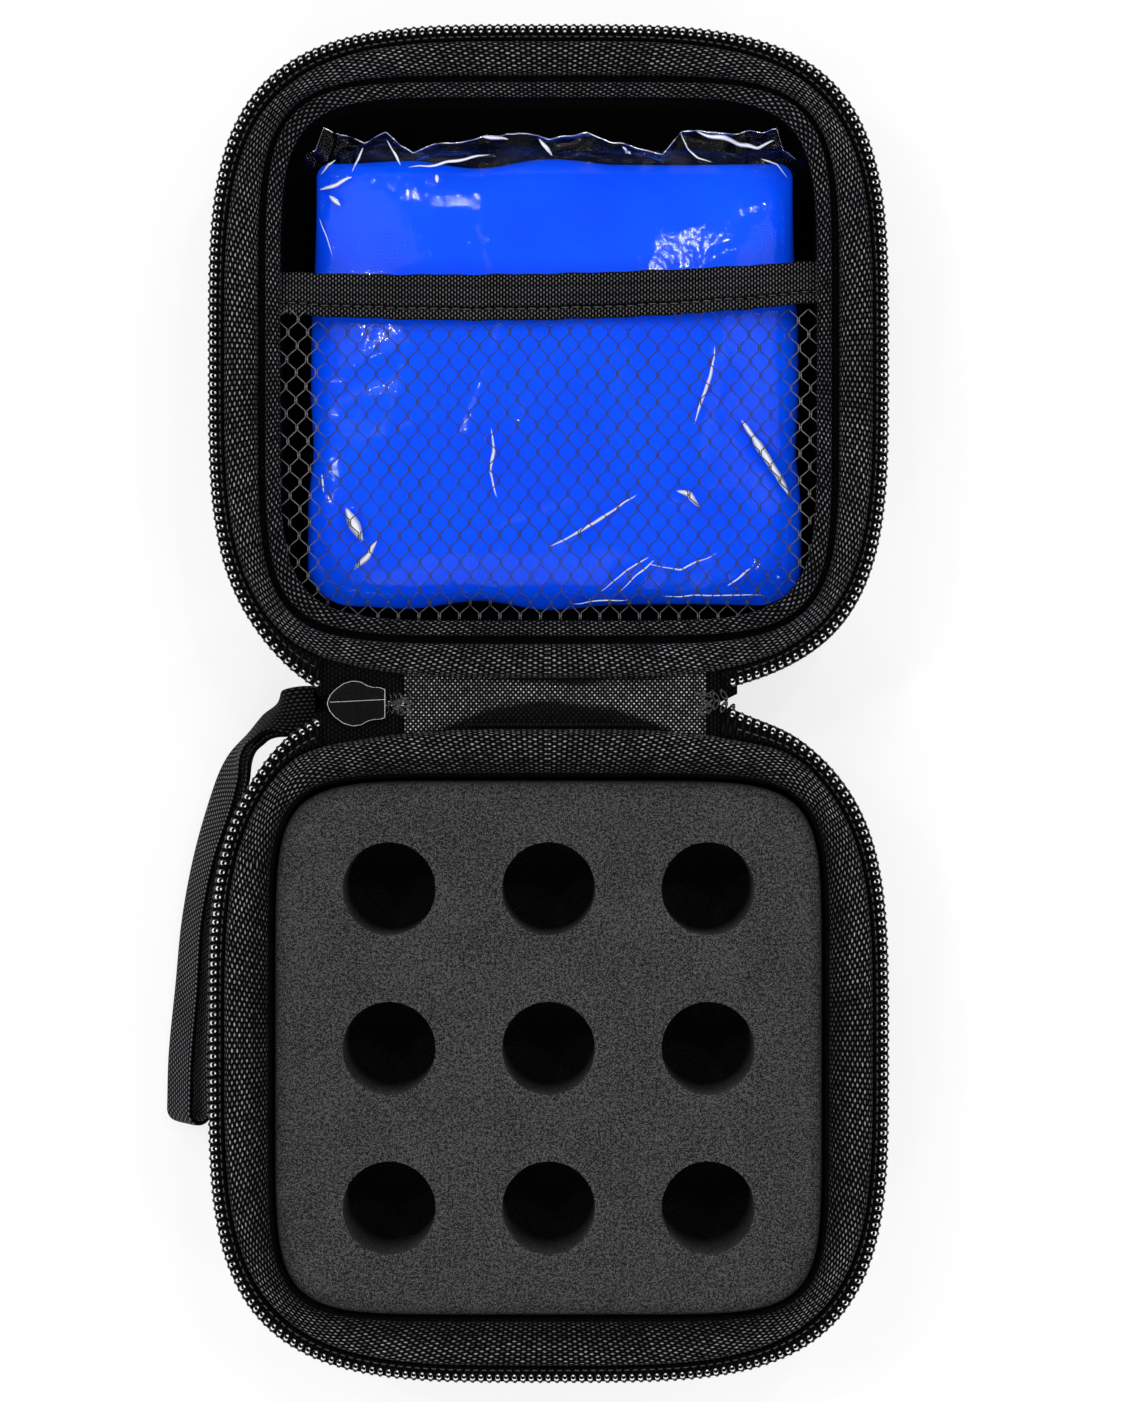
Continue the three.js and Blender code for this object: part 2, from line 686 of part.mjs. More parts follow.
// One half's layers, at the half's own middle.
function addHalf(name, rollGeometry, liningGeometry, turned = (geometry) => geometry) {
  const half = new THREE.Group();
  add(half, `${name}_shell`, turned(shellBody()), finish(0x17181a, 0.85));
  add(half, `${name}_insulation`, turned(insulationBody()), finish(0xb9bcc0, 0.9));
  add(half, `${name}_lining`, turned(liningGeometry), finish(0x1b1c1f, 0.6));
  add(half, `${name}_rim_roll`, turned(rollGeometry), finish(0x1a1b1d, 0.85));
  add(half, `${name}_zip_tape`, turned(tapeBody()), finish(0x0f1011, 0.9));
  add(half, `${name}_zip_teeth`, turned(teethBody()), finish(0x1c1d20, 0.45));
  add(half, `${name}_hinge_binding`, turned(bindingBody()), finish(0x141517, 0.9));
  cooler.add(half);
  return half;
}

const base = addHalf("base", baseRollBody(), liningBody(halfDepth - lining.belowPlane));
add(base, "foam_insert", foamBody(), finish(0x46474a, 0.95));
add(base, "foam_floor_pad", padBody(), finish(0x404144, 0.95));
add(base, "strap_anchor", anchorBody(), finish(0x131416, 0.9));

const flange = { start: lidRoll.start + lidRoll.width + fit, thickness: lining.wall };
const lid = addHalf("lid", lidRollBody(), liningBody(lidFlangeTop, flange), mirrored);
add(lid, "lid_inner_lip", lidLipBody(), finish(0x161719, 0.9));
add(lid, "pocket_net", netBody(), finish(0x121314, 0.8));
add(lid, "pocket_elastic", elasticBody(), finish(0x17181a, 0.85));
add(lid, "gel_pack", packBody(), finish(0x0a4fe0, 0.25));
add(lid, "pack_sleeve", sleeveBody(), finish(0xbcd4f2, 0.1));
lid.position.y = lidY;

const spine = new THREE.Group();
add(spine, "hinge_panel", hingeClothBody(foldZ - hinge.outerCloth, hinge.outerCloth), finish(0x1a1b1d, 0.85));
add(spine, "hinge_lining", hingeClothBody(foldZ + fit, hinge.innerCloth), finish(0x2a2b2e, 0.5));
add(spine, "zip_chain_end", chainBody(), finish(0x1c1d20, 0.45));
const sliderGroup = new THREE.Group();
add(sliderGroup, "slider_body", sliderBody(), finish(0x202225, 0.3, 0.8));
const pullMesh = add(sliderGroup, "slider_pull", pullBody(), finish(0x202225, 0.3, 0.8));
pullMesh.position.set(pullX, 0, pullZ);
sliderGroup.position.set(sliderNose, hingeY, foldZ);
spine.add(sliderGroup);
cooler.add(spine);

add(cooler, "wrist_strap", strapBody(), finish(0x18191b, 0.85));

export default cooler;
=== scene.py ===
"""Insulin cooling case that lies open: cloth, zip, foam, net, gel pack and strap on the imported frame.

Lengths are in millimetres up to the helpers that make a mesh, which turn them into metres.
"""

from __future__ import annotations

import logging
import math
from dataclasses import dataclass
from enum import Enum
from typing import Callable, Sequence

import bpy
import numpy as np
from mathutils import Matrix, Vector

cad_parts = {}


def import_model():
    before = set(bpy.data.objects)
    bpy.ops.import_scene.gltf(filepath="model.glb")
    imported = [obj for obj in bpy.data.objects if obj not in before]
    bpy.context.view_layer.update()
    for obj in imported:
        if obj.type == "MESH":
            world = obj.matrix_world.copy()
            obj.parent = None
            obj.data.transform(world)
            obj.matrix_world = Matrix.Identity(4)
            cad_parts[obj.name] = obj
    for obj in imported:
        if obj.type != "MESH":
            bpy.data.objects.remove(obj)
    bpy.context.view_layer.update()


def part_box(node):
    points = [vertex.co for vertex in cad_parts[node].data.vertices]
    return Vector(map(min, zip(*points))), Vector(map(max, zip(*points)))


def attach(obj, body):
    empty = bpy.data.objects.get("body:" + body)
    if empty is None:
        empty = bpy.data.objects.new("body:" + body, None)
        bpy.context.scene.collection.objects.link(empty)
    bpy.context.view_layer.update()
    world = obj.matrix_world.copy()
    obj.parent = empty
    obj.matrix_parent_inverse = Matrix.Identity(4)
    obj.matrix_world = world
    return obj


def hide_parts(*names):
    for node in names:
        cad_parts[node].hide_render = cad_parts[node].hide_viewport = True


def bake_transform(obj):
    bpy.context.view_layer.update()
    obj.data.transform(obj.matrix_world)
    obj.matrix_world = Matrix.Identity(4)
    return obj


logging.basicConfig(level=logging.INFO, format="%(message)s")
log = logging.getLogger("cooling_case")

MM = 0.001
FULL_TURN = 2 * math.pi
QUARTER_TURN = math.pi / 2
LATTICE = 64
WIRE_SECTION = np.linspace(0, FULL_TURN, 7)

Piece = bpy.types.Object
Array = np.ndarray
Pair = tuple[float, float]
Triple = tuple[float, float, float]
Place = tuple[Array, Array]
Socket = bpy.types.NodeSocket
Value = float | tuple[float, ...] | Socket


class Half(Enum):
    """The two halves of the case, by the name of the body that each rides on."""

    BASE = "base"
    LID = "lid"


# ---- sizes and outlines


@dataclass(frozen=True)
class CaseSizes:
    """Sizes that every sub-assembly shares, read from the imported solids.

    Args:
        half_width: From the middle of a half to the tips of its teeth, along X.
        half_length: The same along Y.
        hinge_y: Y of the middle of the hinge.
        cavity: Inset of the cavity's wall from the tips of the teeth.
        outline_power: Exponent of the superellipse that the teeth follow.
        wall_start: Inset from which the corners grow rounder.
        corner_squeeze: How far a corner draws back for each millimetre of inset.
    """

    half_width: float
    half_length: float
    hinge_y: float
    cavity: float = 11.5
    outline_power: float = 3.8
    wall_start: float = 3.2
    corner_squeeze: float = 0.38

    @classmethod
    def from_frame(cls) -> CaseSizes:
        """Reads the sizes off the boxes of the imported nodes."""
        teeth_low, teeth_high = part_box("base_zip_teeth")
        panel_low, panel_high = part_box("hinge_panel")
        return cls(teeth_high.x / MM, -teeth_low.y / MM, (panel_low.y + panel_high.y) / 2 / MM)

    def power(self, inset: float) -> float:
        """The exponent of the superellipse that lies `inset` inside the teeth."""
        if inset <= self.wall_start:
            return self.outline_power
        mean = (self.half_width + self.half_length) / 2
        corner = (mean - self.wall_start) * 2 ** (-1 / self.outline_power)
        corner -= self.corner_squeeze * (inset - self.wall_start)
        return math.log(2) / math.log((mean - inset) / corner)

    def outline(self, inset: float, angles: Array, wall: float | None = None) -> Array:
        """Points of the outline at an inset.

        Args:
            inset: Distance inside the tips of the teeth.
            angles: Polar angles of the points.
            wall: Inset whose corner shape is used; the same inset if not given.

        Returns:
            An array of X and Y, one row a point.
        """
        power = self.power(inset if wall is None else wall)
        across = np.abs(np.cos(angles) / (self.half_width - inset)) ** power
        along = np.abs(np.sin(angles) / (self.half_length - inset)) ** power
        radius = (across + along) ** (-1 / power)
        return stacked(radius * np.cos(angles), radius * np.sin(angles))

    def even_angles(self, inset: float, start: float, end: float, count: int) -> tuple[Array, Array]:
        """Polar angles whose points are evenly spaced along the outline.

        Args:
            inset: Inset of the outline that is measured.
            start: First polar angle.
            end: Last polar angle.
            count: Number of angles.

        Returns:
            The angles, and the length along the outline at each.
        """
        samples = 6000
        dense = np.linspace(start, end, samples)
        length = run_length(self.outline(inset, dense))
        even = np.linspace(0.0, length[-1], count)
        return np.interp(even, length, dense), even

    def within(self, points: Array, inset: float, wall: float | None = None) -> Array:
        """Distance of points of the base from an outline, towards the middle."""
        angles = np.arctan2(points[:, 1], points[:, 0])
        edge = self.outline(inset, angles, wall)
        return np.linalg.norm(edge, axis=1) - np.linalg.norm(points[:, :2], axis=1)


def run_length(points: Array) -> Array:
    """The length along a row of points, at each of them."""
    return np.concatenate([[0.0], np.cumsum(np.linalg.norm(np.diff(points, axis=0), axis=1))])


def stacked(*parts: float | Array) -> Array:
    """Puts coordinates of shapes that fit together side by side, as the last axis."""
    return np.stack(np.broadcast_arrays(*parts), axis=-1)


def lifted(flat: Array, height: float | Array) -> Array:
    """Gives the points of a plan their height."""
    return stacked(flat[..., 0], flat[..., 1], height)


def unit(vectors: Array) -> Array:
    """Vectors of the same directions and of length one."""
    return vectors / np.linalg.norm(vectors, axis=-1, keepdims=True)


def turned(angle: float) -> Array:
    """The matrix of a turn about Z."""
    c, s = math.cos(angle), math.sin(angle)
    return np.array([[c, -s, 0.0], [s, c, 0.0], [0.0, 0.0, 1.0]])


def node_box(name: str) -> tuple[Vector, Vector]:
    """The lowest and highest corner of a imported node, in millimetres."""
    low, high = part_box(name)
    return low / MM, high / MM


def ripple(length: Array, seed: int, waves: Sequence[float]) -> Array:
    """A smooth unevenness along a length, between about -1 and 1.

    Args:
        length: Places along the length.
        seed: Seed of the phases.
        waves: Wavelengths.

    Returns:
        One value for each place.
    """
    phases = np.random.default_rng(seed).uniform(0, FULL_TURN, len(waves))
    total = sum(np.sin(length * FULL_TURN / wave + phase) for wave, phase in zip(waves, phases))
    return total / len(waves)


def noise_at(x: Array, y: Array, size: float, seed: int) -> Array:
    """Smooth noise between -1 and 1 on a lattice.

    Args:
        x: First coordinate.
        y: Second coordinate.
        size: Width of a lattice cell.
        seed: Seed of the lattice.

    Returns:
        One value for each point.
    """
    values = np.random.default_rng(seed).uniform(-1, 1, (LATTICE, LATTICE))
    u, v = x / size, y / size
    i, j = np.floor(u).astype(int), np.floor(v).astype(int)
    s, t = u - i, v - j
    s, t = s * s * (3 - 2 * s), t * t * (3 - 2 * t)
    columns, rows = (i % LATTICE, (i + 1) % LATTICE), (j % LATTICE, (j + 1) % LATTICE)
    low, high = (values[columns[0], row] * (1 - s) + values[columns[1], row] * s for row in rows)
    return low * (1 - t) + high * t


def ridges(x: Array, y: Array, angle: float, length: float, width: float, seed: int) -> Array:
    """Long thin ridges over a plane.

    Args:
        x: First coordinate.
        y: Second coordinate.
        angle: Direction of the ridges, in degrees.
        length: Length of a ridge.
        width: Distance between ridges.
        seed: Seed of their places.

    Returns:
        The height at each point, between 0 and 1.
    """
    c, s = math.cos(math.radians(angle)), math.sin(math.radians(angle))
    along, across = x * c + y * s, -x * s + y * c
    bend = across + 1.5 * noise_at(x, y, length * 0.7, seed + 7)
    sharp = (1 - np.abs(noise_at(along / length * 10, bend / width * 10, 10, seed))) ** 7
    return sharp * np.clip(0.5 + noise_at(x, y, length * 0.8, seed + 3), 0, 1)


def superellipse(turn: Array, power: float) -> tuple[Array, Array]:
    """Both coordinates of a rounded square from -1 to 1; a power of 2 makes a circle."""
    across, up = (np.sign(wave) * np.abs(wave) ** (2 / power) for wave in (np.cos(turn), np.sin(turn)))
    return across, up


def shut(section: Array) -> Array:
    """Closes a section with its first point."""
    return np.vstack([section, section[:1]])


def rounded_section(low: Pair, high: Pair, power: float, count: int, lean: float = 0.0) -> Array:
    """A closed rounded section between two corners.

    Args:
        low: Lowest inset and height.
        high: Highest inset and height.
        power: Exponent of the section; 2 is an ellipse.
        count: Number of points.
        lean: Share of the width by which the crest moves towards the low inset.

    Returns:
        The section's points as inset and height, the first one again at the end.
    """
    across, up = superellipse(np.linspace(0, FULL_TURN, count, endpoint=False), power)
    width, height = high[0] - low[0], high[1] - low[1]
    skew = lean * width * np.clip(up, 0, 1) * (1 - np.abs(across))
    insets = (low[0] + high[0]) / 2 + across * width / 2 - skew
    return shut(stacked(insets, (low[1] + high[1]) / 2 + up * height / 2))


def capped(points: Array, counted: int | None = -1) -> Array:
    """Closes a run of sections at both ends with the middle of the section there.

    Args:
        points: Sections by points by three.
        counted: Where the points that make the middle stop; by default before the closing one.

    Returns:
        The run with two more sections.
    """
    middle = points[:, :counted].mean(axis=1, keepdims=True)
    ends = np.repeat(middle[[0, -1]], points.shape[1], axis=1)
    return np.concatenate([ends[:1], points, ends[1:]])


# ---- meshes


def deselect() -> None:
    """Leaves edit mode and deselects everything."""
    if bpy.context.object and bpy.context.object.mode != "OBJECT":
        bpy.ops.object.mode_set(mode="OBJECT")
    bpy.ops.object.select_all(action="DESELECT")


def select(*pieces: Piece) -> None:
    """Selects only the pieces and makes the first one active."""
    deselect()
    for piece in pieces:
        piece.select_set(True)
    bpy.context.view_layer.objects.active = pieces[0]


def edited(piece: Piece, *steps: Callable[[], object]) -> Piece:
    """Runs operators in edit mode on the whole mesh of a piece.

    Args:
        piece: The mesh object.
        steps: Calls of operators, in their order.

    Returns:
        The same object.
    """
    select(piece)
    bpy.ops.object.mode_set(mode="EDIT")
    bpy.ops.mesh.select_all(action="SELECT")
    for step in steps:
        step()
    bpy.ops.object.mode_set(mode="OBJECT")
    return piece


def tidy_surface(piece: Piece, merge: float = 1e-6, angle: float | None = None) -> Piece:
    """Merges doubled points, turns the faces outwards and shades them.

    Args:
        piece: The mesh object.
        merge: Distance under which points are merged, in metres.
        angle: Edge angle in degrees above which an edge stays sharp; all smooth if not given.

    Returns:
        The same object.
    """
    edited(
        piece,
        lambda: bpy.ops.mesh.remove_doubles(threshold=merge),
        lambda: bpy.ops.mesh.normals_make_consistent(inside=False),
    )
    if angle is None:
        bpy.ops.object.shade_smooth()
    else:
        bpy.ops.object.shade_smooth_by_angle(angle=math.radians(angle))
    return piece


def primitive(kind: str, **settings: object) -> Piece:
    """Adds a primitive and applies its place.

    Args:
        kind: Its name in the operator, such as torus.
        settings: The operator's settings, in metres.

    Returns:
        The new object, which alone is selected.
    """
    deselect()
    getattr(bpy.ops.mesh, f"primitive_{kind}_add")(**settings)
    bpy.ops.object.transform_apply(location=True, rotation=True, scale=True)
    return bpy.context.active_object


def grid_piece(name: str, points: Array, pattern: Array | None = None, angle: float | None = None) -> Piece:
    """Adds a grid primitive and lays it over rows of points.

    Args:
        name: Name of the new piece.
        points: Rows by columns by three.
        pattern: Rows by columns by two: the UV place of each point; its X and Y if not given.
        angle: Edge angle above which an edge stays sharp, in degrees.

    Returns:
        The new object, with its doubled points merged.
    """
    rows, columns = points.shape[:2]
    piece = primitive("grid", x_subdivisions=columns - 1, y_subdivisions=rows - 1, size=1)
    mesh = piece.data
    piece.name = mesh.name = name
    mesh.vertices.foreach_set("co", np.ascontiguousarray(points * MM, dtype=np.float32).ravel())
    corners = np.empty(len(mesh.loops), np.int32)
    mesh.loops.foreach_get("vertex_index", corners)
    places = points[..., :2] if pattern is None else pattern
    flat = np.ascontiguousarray(places.reshape(-1, 2)[corners], dtype=np.float32)
    mesh.uv_layers.active.data.foreach_set("uv", flat.ravel())
    mesh.update()
    return tidy_surface(piece, angle=angle)


def apply_modifier(piece: Piece, kind: str, **settings: object) -> Piece:
    """Adds a modifier with its settings and applies it.

    Args:
        piece: The mesh object.
        kind: The modifier's type.
        settings: Its own properties.

    Returns:
        The same object.
    """
    select(piece)
    modifier = piece.modifiers.new(kind.title(), kind)
    for key, value in settings.items():
        setattr(modifier, key, value)
    bpy.ops.object.modifier_apply(modifier=modifier.name)
    return piece


def join(name: str, pieces: Sequence[Piece]) -> Piece:
    """Joins pieces into the first one and names it."""
    select(*pieces)
    bpy.ops.object.join()
    joined = bpy.context.active_object
    joined.name = joined.data.name = name
    return joined


def copied(name: str, model: Piece, places: Sequence[Place]) -> Piece:
    """Repeats one modelled shape at many places in one mesh.

    Args:
        name: Name of the new piece.
        model: The shape, modelled once in metres; it is removed at the end.
        places: For each copy, a three by three matrix and an origin in millimetres.

    Returns:
        One object with a copy of the shape at each place.
    """
    local = points_of(model, 1.0)
    count = len(local)
    turns, origins = (np.stack(column) for column in zip(*places))
    points = np.einsum("nij,kj->nki", turns, local) + origins[:, None, :] * MM
    faces = [list(face.vertices) for face in model.data.polygons]
    all_faces = [[v + i * count for v in face] for i in range(len(places)) for face in faces]
    made = bpy.data.meshes.new(name)
    made.from_pydata(points.reshape(-1, 3).tolist(), [], all_faces)
    layer = made.uv_layers.new(name="UVMap")
    corners = np.empty(len(made.loops), np.int32)
    made.loops.foreach_get("vertex_index", corners)
    uv = stacked(local[corners % count][:, 0] / MM, corners // count)
    layer.data.foreach_set("uv", uv.astype(np.float32).ravel())
    piece = bpy.data.objects.new(name, made)
    bpy.context.collection.objects.link(piece)
    bpy.data.objects.remove(model)
    return tidy_surface(piece, merge=1e-9)


def thread_model(sides: int, radius: float, length: float) -> Piece:
    """A straight bit of thread along X."""
    settings = {"vertices": sides, "radius": radius * MM, "depth": length * MM}
    return primitive("cylinder", rotation=(0, QUARTER_TURN, 0), **settings)


def coil_model(segments: int, scale: Triple, turns: Sequence[tuple[float, str]]) -> Piece:
    """One coil of the zip: a ring that is drawn out and leans.

    Args:
        segments: Segments along the ring.
        scale: Its stretch along X, Y and Z.
        turns: Its turns, each in degrees and with the letter of its axis.

    Returns:
        The model at the origin.
    """
    model = primitive(
        "torus", major_segments=segments, minor_segments=6, major_radius=0.55 * MM, minor_radius=0.26 * MM
    )
    edited(model, lambda: bpy.ops.transform.resize(value=scale))
    for degrees, axis in turns:
        turn = {"value": math.radians(degrees), "orient_axis": axis, "center_override": (0, 0, 0)}
        edited(model, lambda: bpy.ops.transform.rotate(**turn))
    return model


def points_of(piece: Piece, unit_length: float = MM) -> Array:
    """The piece's points, in millimetres or in another unit."""
    points = np.empty(len(piece.data.vertices) * 3)
    piece.data.vertices.foreach_get("co", points)
    return points.reshape(-1, 3) / unit_length


def mark(piece: Piece, values: Array) -> None:
    """Writes the attribute edge, which darkens the finish, for every point of a piece; most pieces use it to
    paint shade.
    """
    attribute = piece.data.attributes.new("edge", "FLOAT", "POINT")
    attribute.data.foreach_set("value", np.clip(values, 0, 1).astype(np.float32))


def reshaped(piece: Piece, points: Array) -> None:
    """Moves the points of a piece to new places, in millimetres."""
    piece.data.vertices.foreach_set("co", (points * MM).astype(np.float32).ravel())
    piece.data.update()


# ---- node helpers and pattern groups


class Graph:
    """Short calls that add nodes to a tree and join them."""

    def __init__(self, tree: bpy.types.NodeTree) -> None:
        """Keeps the tree that the nodes go into."""
        self.tree = tree

    def put(self, socket: Socket, value: Value) -> None:
        """Links a socket to another one, or sets its value."""
        if isinstance(value, bpy.types.NodeSocket):
            self.tree.links.new(value, socket)
        else:
            socket.default_value = value

    def node(self, kind: str, inputs: dict[str, Value] | None = None, **settings: object) -> bpy.types.Node:
        """Adds a node.

        Args:
            kind: Its type, without the leading ShaderNode.
            inputs: Values or links for its inputs by name.
            settings: Its own properties.

        Returns:
            The node.
        """
        node = self.tree.nodes.new(f"ShaderNode{kind}")
        for key, value in settings.items():
            setattr(node, key, value)
        for key, value in (inputs or {}).items():
            self.put(node.inputs[key], value)
        return node

    def math(self, operation: str, *values: Value, kind: str = "Math") -> Socket:
        """Adds a math node and returns its output.

        Args:
            operation: What it does.
            values: Values or links for its inputs in their order.
            kind: Math for numbers or VectorMath for vectors.

        Returns:
            The result.
        """
        node = self.node(kind, operation=operation)
        for socket, value in zip(node.inputs, values):
            self.put(socket, value)
        return node.outputs[0]

    def times(self, first: Value, second: Value) -> Socket:
        """The product of two values."""
        return self.math("MULTIPLY", first, second)

    def plus(self, first: Value, second: Value) -> Socket:
        """The sum of two values."""
        return self.math("ADD", first, second)

    def line(self, value: Value, slope: float, start: float) -> Socket:
        """A value times a slope, plus a start."""
        return self.math("MULTIPLY_ADD", value, slope, start)

    def wave(self, value: Value) -> Socket:
        """Arches from 0 to 1, one for each whole step of a value."""
        return self.math("ABSOLUTE", self.math("SINE", self.times(value, math.pi)))

    def split(self, place: Socket) -> tuple[Socket, Socket]:
        """The X and the Y of a place."""
        parts = self.node("SeparateXYZ", {"Vector": place})
        return parts.outputs[0], parts.outputs[1]

    def crossed(self, place: Socket) -> Socket:
        """A place with its X and Y changed over."""
        x, y = self.split(place)
        return self.node("CombineXYZ", {"X": y, "Y": x}).outputs[0]

    def noise(self, place: Socket, scale: Value, detail: float = 2.0, rough: float = 0.5) -> Socket:
        """Adds a noise texture and returns its value."""
        values = {"Vector": place, "Scale": scale, "Detail": detail, "Roughness": rough}
        return self.node("TexNoise", values).outputs["Fac"]

    def mix(self, share: Value, first: Value, second: Value) -> Socket:
        """Mixes two colours.

        Args:
            share: Share of the second one.
            first: A link, or three numbers.
            second: The same.

        Returns:
            The colour.
        """
        node = self.node("Mix", data_type="RGBA")
        share_input, first_input, second_input = (node.inputs[place] for place in (0, 6, 7))
        self.put(share_input, share)
        for socket, colour in ((first_input, first), (second_input, second)):
            self.put(socket, (*colour, 1.0) if isinstance(colour, tuple) else colour)
        return node.outputs[2]

    def group(self, tree: bpy.types.NodeTree, inputs: dict[str, Value]) -> bpy.types.bpy_prop_collection:
        """Places a node group with its own values and returns its outputs."""
        node = self.node("Group", node_tree=tree)
        for key, value in inputs.items():
            self.put(node.inputs[key], value)
        return node.outputs


class PatternGroup(Graph):
    """A node group that takes a place and some numbers and gives numbers."""

    def __init__(self, name: str, **numbers: float) -> None:
        """Starts the group with its number inputs and their defaults; an underscore stands for a space."""
        super().__init__(bpy.data.node_groups.new(name, "ShaderNodeTree"))
        self.socket("Place", "INPUT", "Vector")
        for key, default in numbers.items():
            self.socket(key.replace("_", " "), "INPUT", "Float").default_value = default
        self.given = self.tree.nodes.new("NodeGroupInput").outputs

    def socket(self, name: str, side: str, kind: str) -> bpy.types.NodeTreeInterfaceSocket:
        """Adds a socket to the group's interface."""
        return self.tree.interface.new_socket(name=name, in_out=side, socket_type=f"NodeSocket{kind}")

    def give(self, **outputs: Socket) -> bpy.types.NodeTree:
        """Adds and links the outputs and returns the finished group."""
        for key in outputs:
            self.socket(key, "OUTPUT", "Float")
        sink = self.tree.nodes.new("NodeGroupOutput")
        for key, value in outputs.items():
            self.put(sink.inputs[key], value)
        return self.tree


def weave_group() -> bpy.types.NodeTree:
    """A plain weave of rounded threads: Height, and Unevenness from thread to thread."""
    graph = PatternGroup("plain_weave", Pitch=0.8, Length=0.95, Width=0.62, Stray=0.1, Crossing=1.0)
    place, pitch, length, width, stray, crossing = list(graph.given)[:6]
    drift = graph.node("TexNoise", {"Vector": place, "Scale": 0.9, "Detail": 1.0}).outputs["Color"]
    centred = graph.math("SUBTRACT", drift, (0.5, 0.5, 0.5), kind="VectorMath")
    strayed = graph.math("MULTIPLY", centred, stray, kind="VectorMath")
    u, v = (
        graph.math("DIVIDE", part, pitch)
        for part in graph.split(graph.math("ADD", place, strayed, kind="VectorMath"))
    )
    column, row = graph.math("FLOOR", u), graph.math("FLOOR", v)
    parity = graph.math("FLOORED_MODULO", graph.plus(column, row), 2.0)
    a, b = (graph.line(graph.math("FRACT", part), 2.0, -1.0) for part in (u, v))

    def thread(along: Socket, across: Socket) -> Socket:
        """The height of one thread where it passes over."""
        far = graph.math("POWER", graph.math("DIVIDE", along, length), 2.0)
        near = graph.math("POWER", graph.math("DIVIDE", across, width), 2.0)
        return graph.math("MAXIMUM", graph.math("SUBTRACT", graph.math("SUBTRACT", 1.0, far), near), 0.0)

    over = graph.times(thread(a, b), graph.math("SUBTRACT", 1.0, parity))
    under = graph.times(graph.times(thread(b, a), crossing), parity)
    cell = graph.node("CombineXYZ", {"X": column, "Y": row})
    spread = graph.node("TexWhiteNoise", {"Vector": cell.outputs[0]}).outputs["Value"]
    return graph.give(Height=graph.math("SQRT", graph.plus(over, under)), Unevenness=spread)


def rib_group() -> bpy.types.NodeTree:
    """Ribs that repeat along X, with a finer twist along Y: Height and Twist."""
    graph = PatternGroup("ribs", Pitch=0.6, Twist_Pitch=0.8)
    x, y = graph.split(graph.given["Place"])
    share = graph.math("DIVIDE", x, graph.given["Pitch"])
    shift = graph.times(graph.math("FLOOR", share), 0.5)
    along = graph.plus(graph.math("DIVIDE", y, graph.given["Twist Pitch"]), shift)
    return graph.give(Height=graph.wave(share), Twist=graph.wave(along))


def wear_group() -> bpy.types.NodeTree:
    """Slow unevenness and fine dust over any surface: Cloud, Grain and Dust."""
    graph = PatternGroup("unevenness_and_dust", Cloud_Scale=0.06, Grain_Scale=2.0, Dust=0.7)
    place, cloud_scale, grain_scale, sparse = list(graph.given)[:4]
    speck_radius = 0.16
    specks = graph.node("TexVoronoi", {"Vector": place, "Scale": grain_scale})
    near = graph.math("LESS_THAN", specks.outputs["Distance"], speck_radius)
    keep = graph.node("TexWhiteNoise", {"Vector": specks.outputs["Position"]}).outputs["Value"]
    return graph.give(
        Cloud=graph.noise(place, cloud_scale, 3.0),
        Grain=graph.noise(place, grain_scale, 2.0, 0.7),
        Dust=graph.times(near, graph.math("GREATER_THAN", keep, sparse)),
    )


# ---- finishes


def seen(red: float, green: float, blue: float) -> Triple:
    """A colour as it is seen on a screen, from 0 to 255, as the shader's own values."""
    return tuple(
        ((v / 255 + 0.055) / 1.055) ** 2.4 if v > 10 else v / 255 / 12.92 for v in (red, green, blue)
    )


class Patterns:
    """The node groups that the finishes share, each built once."""

    def __init__(self) -> None:
        """Builds the groups."""
        self.weave, self.ribs, self.wear = weave_group(), rib_group(), wear_group()


